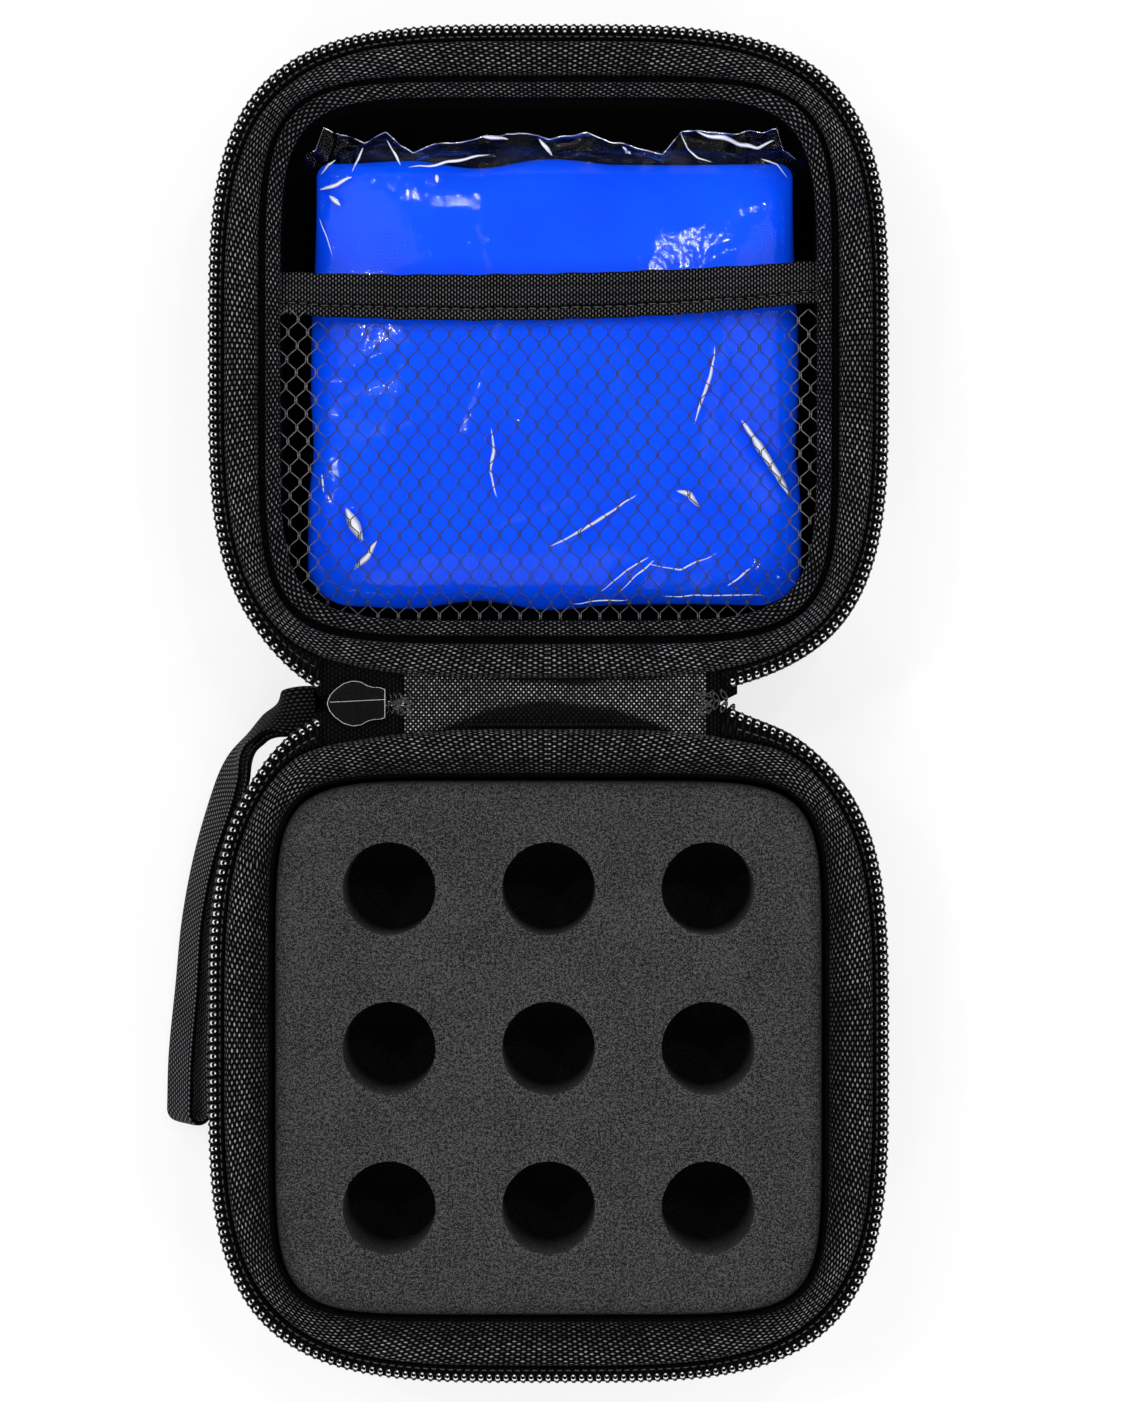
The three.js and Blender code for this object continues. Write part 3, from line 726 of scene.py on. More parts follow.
class Surface:
    """A material that is being built, with its place socket and its shader."""

    def __init__(self, name: str, on_uv: bool = True) -> None:
        """Starts a material.

        Args:
            name: Its name.
            on_uv: Whether patterns follow the piece's UV map or its own coordinates, both in millimetres.
        """
        self.material = bpy.data.materials.new(name)
        self.material.use_nodes = True
        self.graph = Graph(self.material.node_tree)
        self.shader = self.material.node_tree.nodes["Principled BSDF"]
        coordinates = self.graph.node("TexCoord").outputs
        if on_uv:
            self.place = coordinates["UV"]
        else:
            values = {"Vector": coordinates["Object"], "Scale": (1 / MM,) * 3}
            self.place = self.graph.node("Mapping", values).outputs[0]

    def wear(self, groups: Patterns, cloud: float, grain: float, dust: float) -> tuple[Socket, ...]:
        """Places the group of unevenness and dust.

        Args:
            groups: The shared node groups.
            cloud: Scale of the slow unevenness.
            grain: Scale of the grain and of the dust.
            dust: Share of the specks that are left out.

        Returns:
            Cloud, grain and dust.
        """
        values = {"Place": self.place, "Cloud Scale": cloud, "Grain Scale": grain, "Dust": dust}
        made = self.graph.group(groups.wear, values)
        return made["Cloud"], made["Grain"], made["Dust"]

    def relief(self, height: Value, distance: float) -> Socket:
        """Adds a bump of a height and returns its normal."""
        bump = self.graph.node("Bump", {"Height": height, "Strength": 1.0, "Distance": distance * MM})
        self.graph.put(self.shader.inputs["Normal"], bump.outputs[0])
        return bump.outputs[0]

    def tone(self, colour: Socket, share: float = 0.95, dark: Triple = (0.0005, 0.0005, 0.0006)) -> None:
        """Gives the shader a colour that turns dark where the piece's attribute edge is 1; on most pieces
        this is painted shade.
        """
        edge = self.graph.node("Attribute", attribute_name="edge").outputs["Fac"]
        shade = self.graph.mix(self.graph.times(edge, share), colour, dark)
        self.graph.put(self.shader.inputs["Base Color"], shade)

    def dusted(self, colour: Socket, dust: Socket, share: float, grey: float) -> Socket:
        """Lays specks of a warm grey over a colour."""
        return self.graph.mix(self.graph.times(dust, share), colour, seen(grey, grey, grey - 2))

    def set(self, **values: Value) -> None:
        """Sets or links the shader's sockets, with spaces for underscores."""
        for key, value in values.items():
            self.graph.put(self.shader.inputs[key.replace("_", " ")], value)


@dataclass(frozen=True)
class ClothFinish:
    """Woven cloth whose thread crowns carry a painted highlight.

    Args:
        dark: Colour between the threads.
        bright: Colour of a thread's crown, its painted highlight.
        pitch: Distance from thread to thread.
        width: Width of a thread as a share of its cell.
        crossing: Height of the crossing threads as a share of the others'.
        turned: Whether the raised threads run across the piece and not along it.
        sheen: Weight of the sheen.
        roughness: Roughness between the threads.
        aspect: Length of a cell over its width.
        stray: How far threads wander.
    """

    name: str
    dark: Triple
    bright: Triple
    pitch: float = 0.8
    relief: float = 0.16
    width: float = 0.6
    crossing: float = 0.2
    turned: bool = True
    sheen: float = 0.01
    roughness: float = 0.7
    aspect: float = 1.0
    stray: float = 0.1

    def make(self, groups: Patterns) -> bpy.types.Material:
        """Builds the material."""
        surface = Surface(self.name)
        graph = surface.graph
        place = graph.crossed(surface.place) if self.turned else surface.place
        place = graph.math("MULTIPLY", place, (1.0, self.aspect, 1.0), kind="VectorMath")
        values = {"Place": place, "Pitch": self.pitch, "Width": self.width}
        weave = graph.group(groups.weave, values | {"Crossing": self.crossing, "Stray": self.stray})
        cloud, grain, dust = surface.wear(groups, 0.07, 2.4, 0.985)
        height = weave["Height"]
        # Painted highlight: the thread crowns are mixed towards the bright colour.
        glint = graph.times(graph.math("POWER", height, 3.4), graph.line(weave["Unevenness"], 0.9, 0.3))
        glint = graph.times(glint, graph.line(cloud, 1.6, 0.1))
        surface.tone(surface.dusted(graph.mix(glint, self.dark, self.bright), dust, 0.35, 120))
        rough = graph.line(height, -0.16, self.roughness + 0.1)
        surface.set(Roughness=rough, Sheen_Weight=self.sheen, Sheen_Roughness=0.5, Specular_IOR_Level=0.03)
        surface.relief(graph.plus(height, graph.times(grain, 0.3)), self.relief)
        return surface.material


@dataclass(frozen=True)
class RibbedFinish:
    """A narrow woven band with ribs across it, such as webbing, elastic or zip tape, whose rib crowns carry a
    painted highlight.

    Args:
        twist: Length of one twist of the yarn along a rib.
        swap: Whether the ribs stand across the other direction.
    """

    name: str
    dark: Triple
    bright: Triple
    pitch: float
    twist: float
    relief: float = 0.12
    swap: bool = False

    def make(self, groups: Patterns) -> bpy.types.Material:
        """Builds the material."""
        surface = Surface(self.name)
        graph = surface.graph
        place = graph.crossed(surface.place) if self.swap else surface.place
        ribs = graph.group(groups.ribs, {"Place": place, "Pitch": self.pitch, "Twist Pitch": self.twist})
        cloud, grain, _ = surface.wear(groups, 0.09, 3.0, 0.99)
        height = graph.times(ribs["Height"], graph.line(ribs["Twist"], 0.75, 0.25))
        # Painted highlight: the rib crowns are mixed towards the bright colour.
        share = graph.times(graph.math("POWER", height, 4.4), graph.line(cloud, 1.3, 0.45))
        surface.tone(graph.mix(share, self.dark, self.bright))
        rough = graph.line(grain, 0.2, 0.6)
        surface.set(Roughness=rough, Sheen_Weight=0.01, Sheen_Roughness=0.5, Specular_IOR_Level=0.03)
        surface.relief(graph.plus(height, graph.times(grain, 0.25)), self.relief)
        return surface.material


@dataclass(frozen=True)
class FoamFinish:
    """Open-celled grey foam that turns dark by the attribute edge, which paints shade near the block's
    border, down its sides and in its bores.
    """

    name: str
    low: Triple
    high: Triple

    def make(self, groups: Patterns) -> bpy.types.Material:
        """Builds the material."""
        surface = Surface(self.name, on_uv=False)
        graph = surface.graph
        cloud, grain, _ = surface.wear(groups, 0.11, 1.9, 0.9)
        pores = graph.noise(surface.place, 4.2, 3.0)
        mottle = graph.plus(graph.times(pores, 0.9), graph.times(grain, 0.6))
        mottle = graph.line(graph.math("SUBTRACT", mottle, 0.75), 6.2, 0.41)
        share = graph.plus(mottle, graph.line(cloud, 0.5, -0.25))
        # Painted shade where the attribute edge is set.
        surface.tone(graph.mix(share, self.low, self.high), 0.84, seen(12, 12, 13))
        surface.set(Roughness=graph.line(pores, -0.15, 0.98), Specular_IOR_Level=0.2)
        surface.relief(mottle, 0.22)
        return surface.material


@dataclass(frozen=True)
class SolidFinish:
    """A smooth or slightly grained finish: gel, yarn, coil or enamelled metal."""

    name: str
    colour: Triple
    second: Triple
    roughness: float = 0.4
    grain: float = 2.0
    metallic: float = 0.0
    coat: float = 0.0
    relief: float = 0.02
    dust: float = 0.985
    shine: float = 0.5

    def make(self, groups: Patterns) -> bpy.types.Material:
        """Builds the material."""
        surface = Surface(self.name, on_uv=False)
        graph = surface.graph
        cloud, grain, dust = surface.wear(groups, 0.05, self.grain, self.dust)
        colour = graph.mix(graph.line(cloud, 1.4, -0.2), self.colour, self.second)
        surface.tone(surface.dusted(colour, dust, 0.3, 150))
        surface.set(Roughness=graph.line(grain, 0.16, self.roughness - 0.08), Metallic=self.metallic)
        surface.set(Coat_Weight=self.coat, Coat_Roughness=0.15, Specular_IOR_Level=self.shine)
        surface.relief(grain, self.relief)
        return surface.material


@dataclass(frozen=True)
class FilmFinish:
    """Thin clear film: what it reflects grows towards its edges, and the rest shows what lies under it."""

    name: str
    gain: float = 0.5
    least: float = -0.012

    def make(self, groups: Patterns) -> bpy.types.Material:
        """Builds the material."""
        surface = Surface(self.name, on_uv=False)
        graph = surface.graph
        _, grain, _ = surface.wear(groups, 0.1, 0.3, 1.0)
        normal = surface.relief(grain, 0.1)
        facing = graph.node("LayerWeight", {"Blend": 0.5, "Normal": normal}).outputs["Facing"]
        fresnel = graph.line(graph.math("POWER", facing, 4.0), 0.96, 0.04)
        alpha = graph.math("MINIMUM", graph.line(fresnel, self.gain, self.least), 1.0)
        surface.set(Base_Color=(0.92, 0.94, 0.96, 1.0), Metallic=1.0, Roughness=0.07, Alpha=alpha)
        return surface.material


class Wardrobe:
    """Every material of the case with its slot in the record, by the material's name."""

    def __init__(self) -> None:
        """Builds the materials."""
        black, darkest = seen(1, 1, 2), seen(0, 0, 1)
        near_black, near_white = seen(2, 2, 3), seen(196, 196, 198)
        long = {"turned": False, "aspect": 2.2, "stray": 0.45, "width": 0.9, "crossing": 0.1}
        # The second colour paints the slider's edge highlight and the third paints reflections on the film's
        # folds.
        dark, edge_highlight_grey, fold_reflection_white = seen(10, 10, 12), seen(150, 150, 152), seen(206, 214, 236)
        shiny = {"turned": False, "aspect": 0.92, "width": 0.85, "crossing": 0.15, "sheen": 0.03}
        shiny["roughness"] = 0.5
        enamel = {"dust": 0.9, "shine": 0.06}
        clean = {"relief": 0.0, "dust": 1.0}
        gel = {"relief": 0.05, "dust": 1.0, "shine": 0.04}
        # The second colour of each cloth and band is the painted highlight of its thread or rib crowns.
        finishes = [
            ("case_fabric", ClothFinish("case_cloth", black, seen(96, 97, 100), 1.0, **long)),
            ("rim_fabric", ClothFinish("rim_cloth", black, seen(158, 158, 161), 1.0, **long)),
            ("lining_cloth", ClothFinish("lining_cloth", black, seen(13, 13, 15), 0.6, 0.08)),
            ("binding_tape", ClothFinish("lip_cloth", black, seen(126, 126, 129), 0.9, 0.12, **long)),
            ("zip_tape_cloth", RibbedFinish("zip_tape_cloth", black, seen(22, 22, 24), 0.7, 0.9, 0.1)),
            ("webbing", RibbedFinish("strap_webbing", darkest, seen(122, 122, 125), 0.73, 0.95, 0.2, True)),
            ("elastic_band", RibbedFinish("ribbed_elastic", darkest, seen(104, 104, 107), 0.56, 0.85, 0.22)),
            ("binding_tape", RibbedFinish("binding_tape", seen(7, 7, 8), seen(34, 34, 36), 0.6, 0.7)),
            ("hinge_cloth", ClothFinish("hinge_cloth", near_black, near_white, 0.48, 0.14, **shiny)),
            ("grey_foam", FoamFinish("grey_foam", seen(26, 25, 25), seen(100, 98, 99))),
            ("grey_foam", FoamFinish("floor_foam", seen(15, 15, 16), seen(38, 38, 40))),
            ("zip_coil", SolidFinish("zip_coil", near_black, seen(9, 9, 10), 0.25, 3.0, shine=0.4)),
            # Painted glints laid on the coils.
            ("zip_coil", SolidFinish("painted_coil_glint", near_white, seen(252, 252, 252), 0.25, 3.0, coat=0.5)),
            ("zip_tape_cloth", SolidFinish("sewing_thread", seen(30, 30, 32), seen(70, 70, 73), 0.5, 4.0)),
            ("net_yarn", SolidFinish("net_yarn", seen(78, 75, 74), seen(112, 108, 106), 0.5, 4.0)),
            ("blue_gel", SolidFinish("blue_gel", seen(0, 66, 248), seen(0, 84, 255), 0.5, 0.6, **gel)),
            ("clear_film", FilmFinish("clear_film")),
            ("clear_film", FilmFinish("film_weld", 1.0, 0.6)),
            # Painted reflections on the film's sharpest folds.
            ("clear_film", SolidFinish("painted_fold_reflection", fold_reflection_white, seen(252, 252, 255), 0.3, 0.8, **clean)),
            ("slider_metal", SolidFinish("enamelled_metal", near_black, dark, 0.5, 4.0, **enamel)),
            # Painted highlight along the slider's edge and ridge.
            ("slider_metal", SolidFinish("painted_metal_highlight", edge_highlight_grey, seen(214, 214, 215), 0.3, metallic=0.2)),
        ]
        groups = Patterns()
        self.stock = {finish.name: (finish.make(groups), slot) for slot, finish in finishes}

    def dress(self, piece: Piece, finish: str, body: str, *nodes: str, slot: str = "") -> Piece:
        """Gives a piece its material and the body it rides on, hides the nodes it stands for and logs its
        slot.

        Args:
            piece: The finished mesh object.
            finish: Name of its material.
            body: The CAD body that it moves with, or an empty string, which attaches it to none.
            nodes: CAD nodes that it replaces.
            slot: The record's material slot, where it isn't the material's own.

        Returns:
            The same object.
        """
        material, own_slot = self.stock[finish]
        slot = slot or own_slot
        piece.data.materials.clear()
        piece.data.materials.append(material)
        if body:
            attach(piece, body)
        if nodes:
            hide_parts(*nodes)
        log.info("%s: %d faces, slot %s", piece.name, len(piece.data.polygons), slot)
        return piece


@dataclass
class Assembly:
    """What every sub-assembly shares.

    Args:
        sizes: The case's shared sizes.
        wardrobe: The materials.
    """

    sizes: CaseSizes
    wardrobe: Wardrobe


# ---- the two halves


@dataclass
class RimHalf(Assembly):
    """One half of the case: skin, lining, padded rim, and its side of the zip.

    Args:
        half: Which half it is.
        roll: Lowest and highest inset and height of the padded rim.
        lean: Share by which the rim's crest leans outwards.
        lining_top: Height of the lining's upper edge.
        draw: How far the row's two ends are drawn in towards the hinge.
        bulges: X, spread and depth of the swellings by the hinge.
        zip_left: X of the left end of the row of coils.
        zip_right: X of the right end of the row.
        wall_top: Height of the moulded wall.
        pitch: Distance from coil to coil, and from stitch to stitch.
    """

    half: Half
    roll: tuple[Pair, Pair]
    lean: float
    lining_top: float
    draw: Pair
    bulges: Sequence[Triple]
    zip_left: float = -45.5
    zip_right: float = 32.9
    wall_top: float = 24.25
    pitch: float = 1.53

    @property
    def name(self) -> str:
        """The half's name, which its pieces start with."""
        return self.half.value

    def placed(self, flat: Array) -> Array:
        """Puts points of the half's own plan where the half lies."""
        if self.half is Half.BASE:
            return flat
        return stacked(flat[..., 0], 2 * self.sizes.hinge_y - flat[..., 1])

    def ring(self, inset: float, angles: Array, wall: float | None = None, drawn: bool = False) -> Array:
        """The outline at an inset, where the half lies.

        Args:
            inset: Distance inside the tips of the teeth.
            angles: Polar angles of the points.
            wall: Inset whose corner shape is used; the same inset if not given.
            drawn: Whether the zip's ends are drawn in.

        Returns:
            X and Y of each point.
        """
        flat = self.placed(self.sizes.outline(inset, angles, wall))
        x, apart = flat[:, 0].copy(), self.sizes.hinge_y - flat[:, 1]
        full = sum(np.exp(-(((x - at) / spread) ** 2)) * depth for at, spread, depth in self.bulges)
        flat[:, 1] += full * np.clip((11 - inset) / 3, 0, 1) * np.sign(apart) * (np.abs(apart) < 30)
        if drawn:
            to_left = np.clip((x + 57) / 16, 0, 1) ** 1.7 * (x < 0) * self.draw[0]
            to_right = np.clip((49 - x) / 16.5, 0, 1) ** 1.7 * (x > 0) * self.draw[1]
            loose = np.clip((2.65 - inset) / 0.85, 0, 1) * (np.abs(apart) < 25)
            flat[:, 1] += np.sign(apart) * loose * (to_left + to_right)
        return flat

    def whole_run(self, steps: int) -> tuple[Array, Array]:
        """Angles and lengths of the whole way round, from the hinge side."""
        return self.sizes.even_angles(3.0, QUARTER_TURN, QUARTER_TURN + FULL_TURN, steps + 1)

    def zip_run(self, inset: float, count: int, spare: float = 0.0) -> tuple[Array, Array]:
        """Angles and lengths along the row of coils.

        Args:
            inset: Inset of the line that is measured.
            count: Number of points.
            spare: Length by which the run is shorter at each end.

        Returns:
            The polar angles, and the length at each.
        """
        near = self.sizes.half_length - inset
        start = math.atan2(near, self.zip_left - spare)
        end = math.atan2(near, self.zip_right + spare) + FULL_TURN
        return self.sizes.even_angles(inset, start, end, count)

    def spaced(self, inset: float, spare: float = 0.0) -> Array:
        """Polar angles one pitch apart along the row of coils, with the far end's own."""
        _, lengths = self.zip_run(inset, 2, spare)
        return self.zip_run(inset, int(lengths[-1] / self.pitch) + 1, spare)[0]

    def frames(self, inset: float, height: float, angles: Array) -> list[Place]:
        """Places that stand along the outline, turned forward, inwards and up.

        Args:
            inset: Inset of the places.
            height: Their height.
            angles: Polar angle of each place, and of one more point after the last.

        Returns:
            The matrix and the origin of each place.
        """
        here, there = (self.ring(inset, run, drawn=True) for run in (angles[:-1], angles[1:]))
        forward = unit(there - here)
        inside = self.ring(inset + 0.2, angles[:-1], drawn=True) - here
        side = stacked(-forward[:, 1], forward[:, 0])
        side *= np.sign(np.sum(side * inside, axis=1, keepdims=True))
        turns = np.zeros((len(here), 3, 3))
        turns[:, :2, 0], turns[:, :2, 1], turns[:, 2, 2] = forward, side, 1.0
        return list(zip(turns, lifted(here, height)))

    def round_rim(
        self,
        name: str,
        section: Array,
        run: tuple[Array, Array],
        unevenness: float,
        wall: float | None = None,
        ended: bool = False,
    ) -> Piece:
        """Sweeps a closed section along a run of the rim.

        Args:
            name: Name of the piece; its length is the seed of the unevenness.
            section: Insets and heights.
            run: Polar angles and lengths of the stations.
            unevenness: Change of the section's height, as a share.
            wall: Inset whose corner shape is used; each point's own if not given.
            ended: Whether the run has two ends, which are closed and drawn in.

        Returns:
            The new object.
        """
        angles, lengths = run
        lift = unevenness * ripple(lengths, len(name), [9.7, 23.0, 61.0])
        base = section[:, 1].min()
        columns = [
            lifted(self.ring(inset, angles, wall, ended), z + lift * (z - base)) for inset, z in section
        ]
        points = np.stack(columns, axis=1)
        if ended:
            points = capped(points)
            lengths = np.concatenate([lengths[:1], lengths, lengths[-1:]])
        return grid_piece(name, points, stacked(lengths[:, None], run_length(section)))

    def bowl(self, name: str, outer: Sequence[Pair], inner: Sequence[Pair], walls: Pair) -> Piece:
        """A bowl-shaped layer between two profiles of inset and height.

        Args:
            name: Name of the piece.
            outer: From the underside up to the edge.
            inner: From the edge down to the floor.
            walls: The insets whose corner shapes the outer and inner profiles use.

        Returns:
            The new object.
        """
        angles, lengths = self.whole_run(220)
        middle = self.placed(np.zeros((1, 2)))
        shares = (0.0, 0.3, 0.6, 0.85)
        rings = [(*outer[0], walls[0], share) for share in shares]
        rings += [(*point, walls[0], 1.0) for point in outer] + [(*point, walls[1], 1.0) for point in inner]
        rings += [(*inner[-1], walls[1], share) for share in reversed(shares)]
        rows = [
            lifted(middle + (self.ring(inset, angles, wall) - middle) * share, height)
            for inset, height, wall, share in rings
        ]
        points = np.stack(rows)
        marks = np.cumsum([0, 15, 15, 12.5] + [3] * (len(outer) + len(inner)) + [12] * len(shares))
        pattern = stacked(lengths, marks[:, None])
        underside = len(shares) + 1
        pattern[:underside] = points[:underside, :, :2]
        return grid_piece(name, points, pattern, angle=40)

    def skin(self) -> None:
        """The moulded wall with its outer cloth and the insulation behind it."""
        corner, top = 12, self.wall_top
        outer = [
            (4.4 + corner - corner * math.sin(a), corner - corner * math.cos(a))
            for a in np.linspace(0, QUARTER_TURN, 9)
        ]
        outer += [(3.9, 16.0), (3.5, 20.5), (3.25, 23.6), (3.5, top - 0.05), (4.2, top)]
        inner = [(9.9, top), (10.3, top - 0.3), (10.35, 14.0), (10.9, 8.2), (13.2, 7.3)]
        piece = self.bowl(f"{self.name}_moulded_wall", outer, inner, (3.2, 10.4))
        nodes = (f"{self.name}_shell", f"{self.name}_insulation")
        self.wardrobe.dress(piece, "case_cloth", self.name, *nodes)

    def lining(self) -> None:
        """The thin inner cloth; in the lid it turns outwards over the wall's edge."""
        top = self.lining_top
        outer = [(14.0, 7.5), (12.0, 8.2), (10.75, 10.5), (10.7, 14.0), (10.7, top - 1.0)]
        if self.half is Half.LID:
            outer += [(10.2, top - 0.6), (8.2, top - 0.6), (8.1, top)]
        inner = [(11.2, top), (11.5, top - 0.4), (11.5, 12.0), (12.2, 9.2), (14.5, 8.3)]
        piece = self.bowl(f"{self.name}_inner_cloth", outer, inner, (10.7, 11.5))
        self.wardrobe.dress(piece, "lining_cloth", self.name, f"{self.name}_lining")

    def padded_rim(self) -> None:
        """The stuffed roll of cloth that the zip tape is sewn to; the base's carries painted shade on its
        inner side.
        """
        section = rounded_section(*self.roll, 2.5, 40, self.lean)
        piece = self.round_rim(f"{self.name}_padded_rim", section, self.whole_run(360), -0.022)
        if self.half is Half.BASE:
            # Painted shade: the inner slope of the base's roll is darkened.
            reach = self.sizes.within(points_of(piece), 6.4)
            mark(piece, 0.65 * np.clip(reach / 2.6, 0, 1))
        self.wardrobe.dress(piece, "rim_cloth", self.name, f"{self.name}_rim_roll")

    def inner_lip(self) -> None:
        """The narrow bound seam that holds the net."""
        section = rounded_section((10.5, 29.05), (13.2, 31.4), 2.3, 18, 0.1)
        piece = self.round_rim("lid_bound_seam", section, self.whole_run(300), -0.05, 10.0)
        self.wardrobe.dress(piece, "lip_cloth", self.name, "lid_inner_lip")

    def zip_tape(self) -> None:
        """The tape, folded from the rim's seam up to the coils."""
        profile = [(0.25, 30.7), (0.3, 30.45), (2.0, 30.0), (2.15, 29.6), (2.15, 26.6), (4.0, 26.6)]
        profile += [(4.0, 27.4), (2.66, 27.6), (2.68, 30.3), (2.4, 30.6), (1.75, 30.75), (1.6, 31.25)]
        section = shut(np.array(profile + [(1.2, 31.4), (0.6, 31.4), (0.3, 31.15)]))
        tape = self.round_rim(f"{self.name}_tape", section, self.zip_run(1.5, 320), 0.0, ended=True)
        self.wardrobe.dress(tape, "zip_tape_cloth", self.name, f"{self.name}_zip_tape")

    def coils(self) -> None:
        """The row of coils, and on each coil two near-white arcs that are painted glints."""
        angles = self.spaced(0.9)
        model = coil_model(12, (0.74, 1.16, 1.15), ((20, "X"), (-14, "Z")))
        row = copied(f"{self.name}_coil_row", model, self.frames(0.95, 31.5, angles))
        self.wardrobe.dress(row, "zip_coil", self.name, f"{self.name}_zip_teeth")
        # Painted highlight: two near-white arcs on every coil stand in for its glints.
        arcs = []
        for middle, reach, thickness in ((0.0, 1.3, 0.15), (math.pi, 0.6, 0.17)):
            turn, around = np.meshgrid(np.linspace(-1.0, 1.0, 7), WIRE_SECTION, indexing="ij")
            thick = thickness * np.sqrt(np.maximum(1.001 - turn**2, 0))
            out, angle = 0.4 + thick * np.cos(around), middle + turn * reach
            arc = stacked(out * np.sin(angle), -out * np.cos(angle), thick * np.sin(around))
            arcs.append(grid_piece("coil_crest_model", arc))
        crest = join("coil_crest_model", arcs)
        crests = copied(f"{self.name}_painted_coil_glints", crest, self.frames(1.1, 31.92, angles))
        self.wardrobe.dress(crests, "painted_coil_glint", self.name)

    def seam(self) -> None:
        """The stitches between the coils and the rim."""
        model = apply_modifier(thread_model(6, 0.16, 0.9), "BEVEL", width=0.1 * MM, segments=1)
        places = self.frames(2.2, 30.62, self.spaced(2.2, 1.5))
        self.wardrobe.dress(copied(f"{self.name}_tape_stitches", model, places), "sewing_thread", self.name)

    def hinge_tape(self) -> None:
        """The seam tape at the hinge, puckered a little along its length."""
        low, high = node_box(f"{self.name}_hinge_binding")
        x = np.linspace(low.x, high.x, 90)
        section = rounded_section((low.y + 0.02, low.z), (high.y - 0.02, high.z), 3.2, 16)
        pucker = 0.1 * ripple(x, 5, [2.3, 5.1])
        rows = [stacked(x, y, z + pucker * (z - low.z) / 4) for y, z in section]
        points = capped(np.stack(rows, axis=1))
        pattern = stacked(points[..., 0], points[..., 1] + points[..., 2])
        piece = grid_piece(f"{self.name}_hinge_tape", points, pattern)
        self.wardrobe.dress(piece, "binding_tape", self.name, f"{self.name}_hinge_binding")

    def build(self) -> None:
        """Builds the whole half."""
        log.info("%s half", self.name)
        self.skin()
        self.lining()
        self.padded_rim()
        self.zip_tape()
        self.coils()
        self.seam()
        self.hinge_tape()
        if self.half is Half.LID:
            self.inner_lip()


# ---- foam block


@dataclass
class FoamBlock(Assembly):
    """The grey foam block with its nine bores, and the sheet that closes them below.

    Args:
        gap: From the cavity's wall to the block.
        bore: Diameter of a bore.
        pitch: Distance from bore to bore.
    """

    gap: float = 0.8
    top: float = 31.0
    bottom: float = 10.9
    bore: float = 17.0
    pitch: float = 29.1
    edge_round: float = 1.1

    def slab(
        self, name: str, inset: float, evened: Pair, rings: Sequence[Triple], angle: float | None = None
    ) -> Piece:
        """A slab with the cavity's corners.

        Args:
            name: Name of the piece.
            inset: Inset of its side.
            evened: Inset at which its points are evenly spaced, and their number.
            rings: How far each ring is drawn back, its height and its share of the way out.
            angle: Edge angle above which an edge stays sharp, in degrees.

        Returns:
            The new object.
        """
        start, cavity = QUARTER_TURN, self.sizes.cavity
        angles, _ = self.sizes.even_angles(evened[0], start, start + FULL_TURN, evened[1])
        rows = [
            lifted(self.sizes.outline(inset + drop, angles, cavity) * share, height)
            for drop, height, share in rings
        ]
        return grid_piece(name, np.stack(rows), angle=angle)

    def block(self) -> None:
        """The block: a rounded slab that is cut by nine bores whose edges are broken."""
        low, high, corner = self.bottom, self.top, self.edge_round
        inset = self.sizes.cavity + self.gap
        rings = [(0.0, low, 0.0), (0.3, low, 0.97), (0.3, low, 1.0), (0.0, low + 0.3, 1.0)]
        rings.append((0.0, high - corner, 1.0))
        for a in np.linspace(0, QUARTER_TURN, 5)[1:]:
            rings.append((corner * (1 - math.cos(a)), high - corner * (1 - math.sin(a)), 1.0))
        rings += [(corner, high, 0.97), (corner, high, 0.0)]
        block = self.slab("foam_block", inset, (inset, 260), rings)
        spots = [column * self.pitch * MM for column in (-1, 0, 1)]
        settings = {"vertices": 72, "radius": self.bore / 2 * MM, "depth": 0.05}
        cutters = []
        for x, y in [(x, y) for x in spots for y in spots]:
            deselect()
            bpy.ops.mesh.primitive_cylinder_add(location=(x, y, 0.02), **settings)
            cutters.append(bpy.context.active_object)
        cutter = join("bore_cutter", cutters)
        bpy.ops.object.transform_apply(location=True, rotation=True, scale=True)
        apply_modifier(block, "BOOLEAN", operation="DIFFERENCE", object=cutter, solver="EXACT")
        bpy.data.objects.remove(cutter)
        broken = {"width": 0.4 * MM, "segments": 2, "limit_method": "ANGLE", "angle_limit": math.radians(60)}
        apply_modifier(block, "BEVEL", **broken)
        tidy_surface(block, angle=35)
        # Painted shade: a band along the block's border, and its sides and bore walls below the top, are
        # darkened.
        points = points_of(block)
        border = np.clip(1 - self.sizes.within(points, inset, self.sizes.cavity) / 3.2, 0, 1)
        down = np.clip((self.top - 0.13 - points[:, 2]) / 0.25, 0, 1)
        mark(block, np.maximum(0.6 * border, down))
        self.wardrobe.dress(block, "grey_foam", "base", "foam_insert")

    def floor_sheet(self) -> None:
        """The foam sheet that the vials stand on."""
        low, high = node_box("foam_floor_pad")
        levels = [(low.z, 0.0), (low.z, 0.99), (low.z + 0.4, 1.0)]
        levels += [(high.z - 0.4, 1.0), (high.z, 0.99), (high.z, 0.0)]
        rings = [(0.0, *level) for level in levels]
        piece = self.slab("foam_floor_sheet", self.sizes.half_width - high.x, (14.0, 160), rings, angle=40)
        self.wardrobe.dress(piece, "floor_foam", "base", "foam_floor_pad")

    def build(self) -> None:
        """Builds the block and its sheet."""
        self.block()
        self.floor_sheet()


# ---- the lid's pocket


